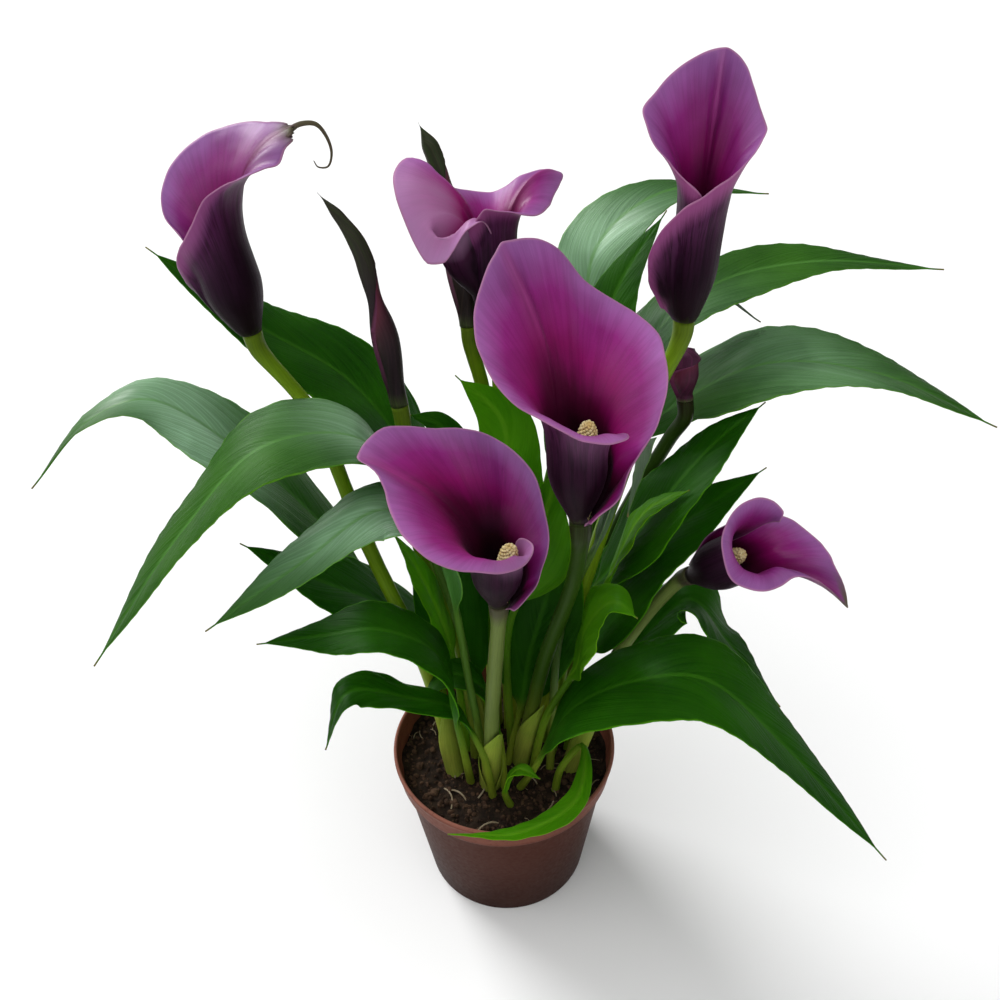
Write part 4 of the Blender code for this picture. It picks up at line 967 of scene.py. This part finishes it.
def build_stem(name, points, axis):
    """A stem that widens into the foot of its spathe or bud."""
    axis = unit(axis)
    foot = np.array(points[-1], float)
    path = [*points[:-1], foot - CUFF_LENGTH * axis, foot - FOOT_GAP * axis]
    shares = np.concatenate([np.linspace(0, 0.93, 44), 0.93 + 0.07 * np.linspace(0, 1, 11)[1:]])
    places, tangents, _, length = smooth_path(path, shares)
    circles = circles_along(tangents, STEM_SIDES)
    radius = STEM_FOOT + (STEM_TOP - STEM_FOOT) * shares
    cuff = BUD_CUFF if "bud" in name else FLOWER_CUFF
    radius = radius + (cuff - radius) * ease((shares - 0.90) / 0.10)
    points = places[:, None] + circles * radius[:, None, None]
    points += circles * (0.22 * ripple(points, 16.0, 3.0) + 0.10 * ripple(points, 5.0, 8.0))[..., None]
    round_it = unrolled(radius, STEM_SIDES)
    run, along = each_row(length * shares, round_it.shape), each_row(shares, round_it.shape)
    finish = STEM_FINISH[STEM_LOOK.get(name, "green")]
    add_piece("fine_" + name, points, tube_faces(len(shares), STEM_SIDES), finish, (name,),
              {"lay": np.stack([round_it, run, 0 * run], -1), "along": along})


def build_sheath(name, points, radius, shares, turn):
    """A papery sheath that wraps a stem's base and opens into a point on one side."""
    steps = np.linspace(0, 1, SHEATH_RINGS)
    places, tangents, _, length = smooth_path(points, shares[0] + (shares[1] - shares[0]) * steps)
    across, up = frame_along(tangents)
    spread_by = math.pi * 0.96 * np.cos(math.pi / 2 * steps) ** 0.7 + 0.02
    size = radius * (1 + 0.25 * steps ** 2)
    sides = np.linspace(-1, 1, SHEATH_COLUMNS)
    there_and_back = np.concatenate([sides, sides[::-1]])
    rows = []
    for side, lift in zip(there_and_back, np.repeat([0.35, -0.35], SHEATH_COLUMNS)):
        angle = turn + spread_by * side
        r = size + lift * (1 - 0.5 * steps)
        rows.append(places + across * (r * np.cos(angle))[:, None] + up * (r * np.sin(angle))[:, None])
    points = np.stack(rows, 1)
    grid = points.shape[:2]
    across_it = np.broadcast_to(radius * 3 * there_and_back, grid)
    run = each_row(length * shares[1] * steps, grid)
    add_piece(name, points, tube_faces(*grid), SHEATH, (),
              {"lay": np.stack([across_it, run, 0 * run], -1), "along": each_row(0.02 + 0.3 * steps, grid)})


def flower_frame(flower):
    """The flower's own directions: the way its front faces, the side to its left, and its axis."""
    axis = unit(flower["axis"])
    front = np.array(flower["front"], float)
    front = unit(front - (front @ axis) * axis)
    return front, np.cross(axis, front), axis


def rim_values(rows, angles):
    """The margin's radius, height and slope at these angles, smoothly between the rows."""
    x, *columns = np.array(rows, float).T
    found = []
    for y in columns:
        s = np.diff(y) / np.diff(x)
        both, total = s[:-1] * s[1:], s[:-1] + s[1:]
        inner = np.where(both > 0, 2 * both / np.where(total == 0, 1, total), 0)
        d = np.concatenate([[s[0]], inner, [s[-1]]])
        i = np.clip(np.searchsorted(x, angles) - 1, 0, len(x) - 2)
        h = x[i + 1] - x[i]
        t = (angles - x[i]) / h
        found.append((2 * t ** 3 - 3 * t ** 2 + 1) * y[i] + (t ** 3 - 2 * t ** 2 + t) * h * d[i]
                     + (3 * t ** 2 - 2 * t ** 3) * y[i + 1] + (t ** 3 - t ** 2) * h * d[i + 1])
    return found


def tube_radius(flower, height):
    swell = np.sin(np.clip(height / flower["belly"], 0, 1) * math.pi / 2) ** 1.15
    return FOOT_RADIUS + (flower["tube"] - FOOT_RADIUS) * swell


def meridian(flower, radius, height, slope):
    """Points (radius, height) up the sheet from its foot to the margin."""
    low = height < flower["flare_from"] * 1.1
    throat = min(flower["flare_from"], 0.62 * height)
    u = np.linspace(0, 1, TUBE_STEPS)
    r = tube_radius(flower, u * throat)
    if low:
        r = r + (radius - tube_radius(flower, height)) * (0.62 * u) ** 2
    lower = np.stack([r, u * throat], 1)
    p0, p3 = lower[-1], np.array([radius, height])
    start = unit(lower[-1] - lower[-2])
    end = np.array([math.sin(math.radians(slope)), math.cos(math.radians(slope))])
    over = 0.7 * max(0.0, flower.get("crest", 60) - height) * max(0.0, slope - 90) / 70
    reach = np.linalg.norm(p3 - p0)
    p1 = p0 + (0.42 * reach + over) * start
    p2 = p3 - (0.40 * reach + over) * end
    t = np.linspace(0, 1, LIMB_STEPS)[1:, None]
    upper = (1 - t) ** 3 * p0 + 3 * (1 - t) ** 2 * t * p1 + 3 * (1 - t) * t ** 2 * p2 + t ** 3 * p3
    return np.vstack([lower, upper])


def tail_points(flower):
    """The tail's path, from the flower's own directions."""
    front, left, axis = flower_frame(flower)
    return [flower["foot"] - front * p[0] + left * p[1] + axis * p[2] for p in flower["tail"]]


def spathe_grid(flower):
    """Columns of the sheet from foot to margin, and their angles."""
    front, left, axis = flower_frame(flower)
    foot = np.array(flower["foot"], float)
    hand = flower.get("hand", 1)
    has_tail = "tail" in flower
    first, last = flower["rim"][0][0], flower["rim"][-1][0]
    angles = np.linspace(first, last, int((last - first) / COLUMN_TURN))
    reach = TAIL_REACH if has_tail else TIP_REACH
    near_tip = np.linspace(-reach, reach, TIP_COLUMNS)
    angles = np.sort(np.concatenate([angles[abs(angles) > reach * 1.08], near_tip]))
    radii, heights, slopes = rim_values(flower["rim"], angles)
    if has_tail:
        k = int(np.argmin(abs(angles)))
        tip_place = foot - front * radii[k] + axis * heights[k]
        curve = smooth_path([tip_place] + tail_points(flower), np.linspace(0, 1, TAIL_STEPS))[0]
    columns = []
    for angle, r, h, slope in zip(angles, radii, heights, slopes):
        out = -front * math.cos(math.radians(angle)) + left * math.sin(math.radians(angle))
        rows = meridian(flower, r, h, slope)
        wrapped = rows[:, 0] + WRAP_GAP * angle / 180.0 * hand * np.minimum(1, rows[:, 1] / 6 + 0.6)
        column = foot + wrapped[:, None] * out + rows[:, 1:] * axis
        if has_tail and abs(angle) < reach:
            share = TAIL_IN_SHEET * (1 - abs(angle) / reach) ** 1.3
            steps = max(2, int(TAIL_STEPS * share))
            slide = (1 - np.linspace(0, share, steps)) ** 1.5
            column = np.vstack([column, (curve[:steps] + (column[-1] - tip_place) * slide[:, None])[1:]])
        along = running_length(column)
        trim = 1 - 0.4 * max(0.0, 1 - (angle - first) / 18.0) ** 2
        columns.append(columns_at(np.linspace(0, along[-1] * trim, SPATHE_ROWS), along, column))
    return np.array(columns), angles


def sheet_faces(columns, rows):
    """Faces of a sheet: its inside, its outside, and the thin lip round its foot, margin and sides."""
    faces = []
    back = columns * rows
    lip_at, a_at, b_at = 2 * back, 2 * back + columns, 2 * back + columns + rows
    for i in range(columns - 1):
        for k in range(rows - 1):
            p, q = i * rows + k, (i + 1) * rows + k
            faces.append((p, q, q + 1, p + 1))
            faces.append((back + p, back + p + 1, back + q + 1, back + q))
        p, q = i * rows, (i + 1) * rows
        faces.append((p, back + p, back + q, q))
        p, q = p + rows - 1, q + rows - 1
        faces.append((p, q, lip_at + i + 1, lip_at + i))
        faces.append((back + q, back + p, lip_at + i, lip_at + i + 1))
    last = back - rows
    for k in range(rows - 1):
        p = last + k
        faces.append((k, k + 1, a_at + k + 1, a_at + k))
        faces.append((back + k + 1, back + k, a_at + k, a_at + k + 1))
        faces.append((p + 1, p, b_at + k, b_at + k + 1))
        faces.append((back + p, back + p + 1, b_at + k + 1, b_at + k))
    end, lip_end = rows - 1, lip_at + columns - 1
    return faces + [(0, a_at, back), (back + last, b_at, last), (end, lip_at, a_at + end),
                    (a_at + end, lip_at, back + end), (last + end, b_at + end, lip_end),
                    (b_at + end, back + last + end, lip_end)]


def build_spathe(name, flower, seed):
    """The sheet of an open flower, with its own inside and outside and a thin rounded margin."""
    grid, angles = spathe_grid(flower)
    columns, rows = grid.shape[:2]
    up = np.linspace(0, 1, rows)
    lengths = running_length(grid, axis=1)
    across = running_length(grid, axis=0)
    to_side = np.minimum(across, across[-1:] - across)
    margin = np.minimum(lengths[:, -1:] - lengths, to_side)
    normals = unit(np.cross(np.gradient(grid, axis=0), np.gradient(grid, axis=1)))
    limb = ease((up - 0.35) / 0.5)[None]
    sway = 0.7 * ripple(grid, 19.0, seed) + 0.22 * ripple(grid, 7.0, seed + 5.0)
    rolling = 0.8 * ripple(grid, 11.0, seed + 9.0) * np.exp(-margin / 8.0)
    grid = grid + normals * ((sway + rolling) * limb)[..., None]
    thickness = MARGIN_THICKNESS + (SPATHE_THICKNESS - MARGIN_THICKNESS) * ease(margin / 9.0)
    half = thickness[..., None] / 2
    inner, outer = grid + normals * half, grid - normals * half
    lip = grid[:, -1] + unit(grid[:, -1] - grid[:, -2]) * half[:, -1]
    side_a = grid[0] + unit(grid[0] - grid[1]) * half[0]
    side_b = grid[-1] + unit(grid[-1] - grid[-2]) * half[-1]
    points = np.concatenate([inner.reshape(-1, 3), outer.reshape(-1, 3), lip, side_a, side_b])
    up = np.broadcast_to(up[None], (columns, rows))
    angle = each_row(angles, (columns, rows))
    if "tail" in flower:
        tip = np.exp(-(angle / 16.0) ** 2) * ease((lengths - TAIL_FROM) / 8.0)
    else:
        tip = np.exp(-(angle / 9.0) ** 2) * ease((up - 0.93) / 0.05) * (name == GREEN_TIPPED)
    # Painted shade for each flower, towards its tip and on its right side; below 0, a painted highlight on
    # its left lobe
    base, to_tip, left_lobe, to_right = FLOWER_SHADE[name]
    shade = base + to_tip * np.exp(-(angle / 38.0) ** 2) * ease((up - 0.55) / 0.4)
    shade = shade + to_right * ease((angle - 5) / 55.0)
    shade = shade + left_lobe * ease((-95 - angle) / 40.0) * ease((up - 0.5) / 0.3)
    lay = np.stack([angle * 0.35, up, np.clip(shade, -1, 1)], -1)

    def over(values):
        """Values of the grid, for every point of the closed sheet."""
        flat = values.reshape(columns * rows, -1)
        return np.concatenate([flat, flat] + [side.reshape(-1, flat.shape[1])
                                              for side in (values[:, -1], values[0], values[-1])])

    faces_in = np.repeat([1.0, 0.0, 0.5], [columns * rows, columns * rows, columns + 2 * rows])
    add_piece("fine_spathe_" + name, points, sheet_faces(columns, rows), SPATHE,
              ("spathe_" + name,), {"lay": over(lay), "up": over(up), "inside": faces_in,
                                    "margin": over(margin), "tip": over(tip)})


def build_tail(name, flower):
    """The long thin curl at the tip of a spathe."""
    shares = np.linspace(0, 1, TAIL_RINGS)
    places, tangents, _, _ = smooth_path(tail_points(flower), shares)
    radius = TAIL_RADIUS * (1 - shares) ** 0.6 + TAIL_END
    points = places[:, None] + circles_along(tangents, TAIL_SIDES, 0.75) * radius[:, None, None]
    along = each_row(shares, points.shape[:2])
    none = 0 * along
    add_piece("fine_tail_" + name, points, tube_faces(TAIL_RINGS, TAIL_SIDES), SPATHE, (),
              {"lay": np.stack([along * 4, along, none], -1), "up": 0.9 + none, "inside": none,
               "margin": 9.0 + none, "tip": ease(0.4 + along * 3)})


def new_growth(name, **inputs):
    """An empty Geometry Nodes tree with these named inputs, and a material."""
    return new_group(name, "GeometryNodeTree", {"Geometry": "Geometry", **inputs, "Material": "Material"},
                     {"Geometry": "Geometry"})


def finish_growth(g, shape, given, result):
    """End a tree as plain mesh with its material."""
    real = g.out("GeometryNodeRealizeInstances", {0: shape})
    g.link(g.out("GeometryNodeSetMaterial", {0: real, "Material": given["Material"]}), result[0])
    return g.tree


def grow(name, mesh, tree, settings, place=None, replaced=()):
    """Run a tree on a mesh, keep the result as a plain mesh and settle it as a piece."""
    item = new_object(name, mesh)
    grower = item.modifiers.new("grow", "NODES")
    grower.node_group = tree
    for socket in tree.interface.items_tree:
        if socket.in_out == "INPUT" and socket.name in settings:
            grower[socket.identifier] = settings[socket.name]
    depsgraph = bpy.context.evaluated_depsgraph_get()
    grown = bpy.data.meshes.new_from_object(item.evaluated_get(depsgraph), depsgraph=depsgraph)
    item.modifiers.clear()
    item.data = grown
    if place is not None:
        grown.transform(place)
    settle(item, replaced)


def make_floret_tree():
    """Small rounded florets in a close spiral over a finger-shaped core, in the spadix's own frame."""
    g, given, result = new_growth("florets", Count=200, Length=0.04, Girth=0.003, Floret=0.0006, Seed=1)
    index = g.out("GeometryNodeInputIndex")
    share = g.maths("DIVIDE", g.plus(index, 0.5), given["Count"])
    turn = g.times(index, GOLDEN_ANGLE)
    profile = g.node("ShaderNodeFloatCurve", {"Value": share})
    bends = profile.mapping.curves[0].points
    for x, y in ((0.12, 0.92), (0.5, 1.0), (0.86, 0.88), (0.96, 0.60)):
        bends.new(x, y)
    bends[0].location = (0.0, 0.70)
    bends[-1].location = (1.0, 0.05)
    profile.mapping.update()
    radius = g.times(profile.outputs[0], given["Girth"])
    place = g.vector(g.times(g.maths("COSINE", turn), radius), g.times(g.maths("SINE", turn), radius),
                     g.times(share, given["Length"]))
    dots = g.out("GeometryNodePoints", {"Count": given["Count"]})
    dots = g.out("GeometryNodeSetPosition", {"Geometry": dots, "Position": place})
    blob = g.out("GeometryNodeMeshIcoSphere", {"Radius": given["Floret"], "Subdivisions": 2})
    blobs = g.out("GeometryNodeInstanceOnPoints", {"Points": dots, "Instance": blob,
                                                   "Scale": g.random(0.85, 1.15, given["Seed"])})
    joined = g.node("GeometryNodeJoinGeometry", {0: blobs})
    g.link(given["Geometry"], joined.inputs[0])
    return finish_growth(g, joined.outputs[0], given, result)


def scattered(g, given):
    """Points scattered over the surface."""
    return g.out("GeometryNodeDistributePointsOnFaces", {"Mesh": given["Geometry"], "Seed": given["Seed"],
                                                         "Density": given["Density"]})


def make_crumb_tree():
    """Irregular crumbs scattered over a surface and half sunk in it."""
    g, given, result = new_growth("crumbs", Density=90000.0, Smallest=0.3, Largest=1.6, Seed=1)
    ball = g.out("GeometryNodeMeshIcoSphere", {"Radius": MM, "Subdivisions": 2})
    turn = g.random((0, 0, 0), (6.28, 6.28, 6.28), given["Seed"])
    skewed = g.maths("POWER", g.random(0.0, 1.0, given["Seed"]), 2.5)
    size = g.spread(skewed, 0.0, 1.0, given["Smallest"], given["Largest"], "LINEAR")
    flatten = g.random((0.6, 0.6, 0.5), (1.3, 1.1, 1.0), 5)
    scale = g.out("ShaderNodeVectorMath", {0: flatten, "Scale": size}, operation="SCALE")
    bits = g.out("GeometryNodeInstanceOnPoints", {"Points": scattered(g, given), "Instance": ball,
                                                  "Rotation": turn, "Scale": scale})
    real = g.out("GeometryNodeRealizeInstances", {0: bits})
    rough = g.node("ShaderNodeTexNoise", {"Scale": 700.0, "Detail": 2.0}).outputs["Color"]
    shift = g.out("ShaderNodeVectorMath", {0: rough, 1: (0.5, 0.5, 0.5)}, operation="SUBTRACT")
    shift = g.out("ShaderNodeVectorMath", {0: shift, "Scale": 1.6 * MM}, operation="SCALE")
    broken = g.out("GeometryNodeSetPosition", {"Geometry": real, "Offset": shift})
    return finish_growth(g, broken, given, result)


def make_fibre_tree():
    """Thin bent fibres lying over a surface."""
    g, given, result = new_growth("fibres", Density=12000.0, Length=0.008, Thickness=0.00022, Seed=1)
    half = g.times(given["Length"], 0.5)
    bow = g.vector(0.0, g.times(half, 0.6), g.times(half, 0.5))
    arc = g.out("GeometryNodeCurveQuadraticBezier", {"Resolution": 7, "Middle": bow, "End": g.vector(half),
                                                     "Start": g.vector(g.times(half, -1.0))})
    ring = g.out("GeometryNodeCurvePrimitiveCircle", {"Resolution": 5, "Radius": given["Thickness"]})
    strand = g.out("GeometryNodeCurveToMesh", {"Curve": arc, "Profile Curve": ring, "Fill Caps": True})
    turn = g.random((-0.3, -0.3, 0), (0.3, 0.3, 6.28), given["Seed"])
    strands = g.out("GeometryNodeInstanceOnPoints", {"Points": scattered(g, given), "Instance": strand,
                                                     "Rotation": turn, "Scale": g.random(0.4, 1.5, 8)})
    return finish_growth(g, strands, given, result)


FLORETS = make_floret_tree()
CRUMBS = make_crumb_tree()
FIBRES = make_fibre_tree()


def build_spadix(name, flower, length):
    """The finger in the middle of the flower: a smooth core and its florets."""
    front, _, axis = flower_frame(flower)
    shares = np.linspace(0, 1, SPADIX_RINGS)
    profile = np.interp(shares, [0, 0.1, 0.45, 0.8, 0.95, 1.0], [2.8, 3.4, 3.8, 3.4, 2.2, 0.2])
    turns = around(SPADIX_SIDES)
    ring = np.stack([np.cos(turns), np.sin(turns), 0 * turns], 1)
    points = ring[None] * profile[:, None, None] + UP * (shares * length)[:, None, None]
    core = new_mesh("core", points, tube_faces(SPADIX_RINGS, SPADIX_SIDES))
    finger = length * axis + np.array(flower.get("lean", (0, 0, 0)), float)
    length = np.linalg.norm(finger)
    axis = finger / length
    front = unit(front - (front @ axis) * axis)
    place = Matrix((front, np.cross(axis, front), axis)).transposed().to_4x4()
    place.translation = (np.array(flower["foot"]) + 0.1 * axis) * MM
    grow("fine_spadix_" + name, core, FLORETS,
         {"Count": int(length * FLORETS_PER_MM), "Length": length * MM, "Girth": FLORET_GIRTH * MM,
          "Floret": FLORET_RADIUS * MM, "Seed": 3, "Material": SPADIX},
         place, ("spadix_" + name,))


def build_bud(name, bud, seed):
    """A rolled spathe: its outer edge winds up the bud as a low step."""
    shares = np.linspace(0, 1, BUD_RINGS)
    places, tangents, where, length = smooth_path(bud["path"], shares)
    radius = values_at(bud["radii"], where) - 0.5 * ease(shares / 0.1)
    pinched_at, depth = PINCH[name]
    seam_at = SEAM_TURN[0] + SEAM_TURN[1] * ease((shares - pinched_at + 0.22) / 0.4)
    radius = radius * (1 - depth * np.exp(-((shares - pinched_at) / 0.09) ** 2))
    after = (around(BUD_SIDES)[None] - seam_at[:, None]) % (2 * math.pi)
    step = 1.7 * (after / (2 * math.pi) - 0.6) * ease(shares / 0.15)[:, None]
    lip = np.exp(-(after / 0.16) ** 2) + np.exp(-((2 * math.pi - after) / 0.05) ** 2)
    circles = circles_along(tangents, BUD_SIDES)
    size = np.maximum(radius[:, None] + step * np.minimum(1, radius / 4)[:, None] - 0.3, 0.12)
    points = places[:, None] + circles * size[..., None]
    points += circles * (0.18 * ripple(points, 9.0, seed))[..., None]
    run, along = each_row(length * shares, after.shape), each_row(shares, after.shape)
    seam = np.clip(lip, 0, 1) * ease(shares / 0.25)[:, None]
    strip = np.exp(-after / 0.9) * ease((shares - 0.2) / 0.3)[:, None]
    add_piece("fine_bud_" + name, points, tube_faces(BUD_RINGS, BUD_SIDES), BUD_FINISH[name],
              ("bud_" + name,), {"lay": np.stack([unrolled(radius, BUD_SIDES), run, strip], -1),
                                 "along": along, "seam": seam})


def wall_radius(z):
    return BASE_RADIUS + (RIM_RADIUS - COLLAR_STEP - BASE_RADIUS) * z / POT_HEIGHT


def circle(radius, z, sides):
    """Points round a level circle."""
    return [(radius * math.cos(a), radius * math.sin(a), z) for a in around(sides)]


def pot_profile():
    """Pairs (radius, height) up the pot's outside, over its rim and down its inside."""
    step_z = POT_HEIGHT - COLLAR_HEIGHT
    step_r = wall_radius(step_z)
    collar_r, collar_z = step_r + COLLAR_STEP, step_z + 1.4
    foot = [(BASE_RADIUS - 0.9, 0.0), (BASE_RADIUS - 0.3, 0.25), (BASE_RADIUS + 0.1, 0.9)]
    wall = [(wall_radius(z), z) for z in np.linspace(2.0, step_z - 0.4, 16)]
    step = [(step_r + 0.15, step_z), (step_r + 0.5, step_z + 0.25), (collar_r - 0.5, step_z + 0.5),
            (collar_r - 0.1, step_z + 0.8), (collar_r + 0.05, collar_z)]
    collar = [(collar_r + (RIM_RADIUS - 0.35 - collar_r) * t, collar_z + (COLLAR_HEIGHT - 4.0) * t)
              for t in np.linspace(0.15, 1, 6)]
    lip = [(RIM_RADIUS - inset, POT_HEIGHT - drop) for inset, drop in (
        (0.1, 2.2), (0.0, 1.6), (0.05, 0.8), (0.4, 0.2), (0.9, 0.0), (1.4, 0.1), (1.8, 0.5), (2.1, 1.4))]
    inside = [(collar_r - WALL, step_z + 2.6), (step_r - WALL + 0.2, step_z + 0.6),
              (step_r - WALL, step_z - 0.6)]
    inside += [(wall_radius(z) - WALL, z) for z in [*np.linspace(step_z - 4, FLOOR + 1, 8), FLOOR]]
    return foot + wall + step + collar + lip + inside


def build_pot():
    """The pot: turned wall, stepped collar with a rounded lip, and a floor with drain holes."""
    sides = POT_SIDES
    profile = pot_profile()
    points = [p for radius, z in profile for p in circle(radius, z, sides)]
    faces = ring_quads(len(profile), sides)
    per_hole = sides // HOLE_COUNT
    holes = {k for k in range(sides) if k % per_hole < per_hole // 3}
    rings = []
    for z, edge in ((0.0, 0), (FLOOR, (len(profile) - 1) * sides)):
        far = len(points)
        rings.append((edge, far, far + sides, far + 2 * sides))
        points += circle(HOLE_OUTER, z, sides) + circle(HOLE_INNER, z, sides) + [(0, 0, z)]
    for level, (edge, far, near, middle) in enumerate(rings):
        for k in range(sides):
            j = (k + 1) % sides
            quads = [(edge + k, edge + j, far + j, far + k)]
            if k not in holes:
                quads.append((far + k, far + j, near + j, near + k))
            quads.append((near + k, near + j, middle))
            faces += [tuple(reversed(q)) for q in quads] if level == 0 else quads
    (_, low_far, low_near, _), (_, high_far, high_near, _) = rings
    for k in holes:
        j = (k + 1) % sides
        faces.append((high_far + k, high_far + j, low_far + j, low_far + k))
        faces.append((high_near + j, high_near + k, low_near + k, low_near + j))
        if (k - 1) % sides not in holes:
            faces.append((high_near + k, high_far + k, low_far + k, low_near + k))
        if j not in holes:
            faces.append((high_far + j, high_near + j, low_near + j, low_far + j))
    item = add_piece("fine_pot", points, faces, POT, ("pot",))
    item.data.set_sharp_from_angle(angle=math.radians(50))


def soil_surface(radii, sides):
    """Rings of points over the uneven top of the soil, with a slight mound round the stems."""
    turns = around(sides)
    radii = np.asarray(radii)[:, None]
    x, y = radii * np.cos(turns)[None], radii * np.sin(turns)[None]
    flat = np.stack([x, y, 0 * x], -1)
    mound = 1.0 * np.exp(-(x * x + y * y) / 700.0)
    lumps = 0.5 * np.sin(x * 0.21 + 1.0) * np.cos(y * 0.24) + 0.3 * np.sin(x * 0.4 - y * 0.33)
    rough = 0.9 * ripple(flat, 9.0, 1.0) + 0.8 * ripple(flat, 3.5, 3.0) + 0.5 * ripple(flat, 1.7, 5.0)
    fade = np.clip((SOIL_RADIUS - 0.1 - radii) / 3.0, 0, 1)
    return np.stack([x, y, SOIL_TOP - 0.8 + mound + lumps + rough * fade], -1)


def build_soil():
    """Rough peat, with loose crumbs, larger chips and pale root fibres over it."""
    step_z = POT_HEIGHT - COLLAR_HEIGHT
    low = [circle(wall_radius(FLOOR) - WALL - 0.5, FLOOR + 0.4, SOIL_SIDES),
           circle(wall_radius(step_z) - WALL - 0.5, step_z - 0.8, SOIL_SIDES)]
    points = np.concatenate([low, soil_surface(np.linspace(SOIL_RADIUS, 1.5, SOIL_RINGS), SOIL_SIDES)])
    add_piece("fine_soil", points, tube_faces(len(points), SOIL_SIDES), SOIL, ("soil",))
    patch = soil_surface(np.linspace(54.5, 3.0, BED_RINGS), BED_SIDES)
    bed = new_mesh("bed", patch, ring_quads(len(patch), BED_SIDES))
    for name, density, smallest, largest, seed in (("soil_crumbs", 170000.0, 0.35, 1.9, 2),
                                                   ("soil_chips", 9000.0, 1.4, 3.0, 7)):
        grow(name, bed.copy(), CRUMBS, {"Density": density, "Smallest": smallest, "Largest": largest,
                                        "Seed": seed, "Material": CRUMB})
    grow("soil_fibres", bed.copy(), FIBRES, {"Seed": 4, "Material": ROOT, "Density": 4000.0,
                                             "Thickness": 0.35 * MM, "Length": 10.0 * MM})


# Each lamp: its name, the side that it shines from, the angle of the soft sun and its strength
LAMPS = (("window", (-0.62, 0.68, 0.60), 30, 2.6), ("top", (-0.3, -0.15, 1.0), 70, 1.6),
         ("front", (0.25, -0.8, 0.75), 60, 0.45))
SKY_LIGHT = 0.26
SKY_SEEN = 1.0
FLOOR_HALF = 12000.0


def build_stage():
    """A pale floor, soft studio light and the photograph's camera."""
    scene = bpy.context.scene
    half = FLOOR_HALF
    mesh = new_mesh("floor", [(-half, -half, 0), (half, -half, 0), (half, half, 0), (-half, half, 0)],
                    [(0, 1, 2, 3)])
    mesh.materials.append(floor_material())
    new_object("floor", mesh)
    scene.world = bpy.data.worlds.new("studio")
    scene.world.use_nodes = True
    world = Nodes(scene.world.node_tree)
    sky = world.tree.nodes["Background"]
    sky.inputs[0].default_value = (1.0, 1.0, 1.0, 1.0)
    seen = world.node("ShaderNodeLightPath").outputs["Is Camera Ray"]
    world.link(world.spread(seen, 0.0, 1.0, SKY_LIGHT, SKY_SEEN, "LINEAR"), sky.inputs[1])
    for name, side, angle, strength in LAMPS:
        lamp = bpy.data.lights.new(name, "SUN")
        lamp.angle = math.radians(angle)
        lamp.energy = strength
        item = new_object(name, lamp)
        item.location = side
        item.rotation_euler = (-Vector(side)).to_track_quat("-Z", "Y").to_euler()
    pitch, roll = math.radians(CAMERA_PITCH), math.radians(CAMERA_ROLL)
    level, view = Vector((1, 0, 0)), Vector((0.0, math.cos(pitch), -math.sin(pitch)))
    above = Vector((0.0, math.sin(pitch), math.cos(pitch)))
    right = math.cos(roll) * level + math.sin(roll) * above
    up = math.cos(roll) * above - math.sin(roll) * level
    camera = bpy.data.cameras.new("camera")
    camera.lens = CAMERA_LENS
    camera.sensor_width = SENSOR
    camera.clip_end = 60.0
    scene.camera = new_object("camera", camera)
    scene.camera.matrix_world = Matrix((right, up, -view)).transposed().to_4x4()
    scene.camera.location = Vector(CAMERA_PLACE) * MM
    scene.view_settings.view_transform = "Standard"
    scene.view_settings.look = "None"


def main():
    build_stage()
    build_pot()
    build_soil()
    for name, points in STEMS.items():
        key = name.replace("stem_", "")
        if key in FLOWERS:
            axis = FLOWERS[key]["axis"]
        else:
            first, second = BUDS[key.replace("bud_", "")]["path"][:2]
            axis = np.subtract(second, first)
        build_stem(name, points, axis)
    for count, (name, radius, shares, turn) in enumerate(SHEATHS):
        build_sheath("sheath_%d" % count, STEMS[name], radius, shares, turn)
    for seed, (name, bud) in enumerate(BUDS.items(), 2):
        build_bud(name, bud, seed)
    for seed, (name, flower) in enumerate(FLOWERS.items(), 1):
        build_spathe(name, flower, seed)
        if "tail" in flower:
            build_tail(name, flower)
        build_spadix(name, flower, SPADIX_LENGTH[name])
    for name, leaf in LEAVES.items():
        build_leaf(name, leaf)


main()
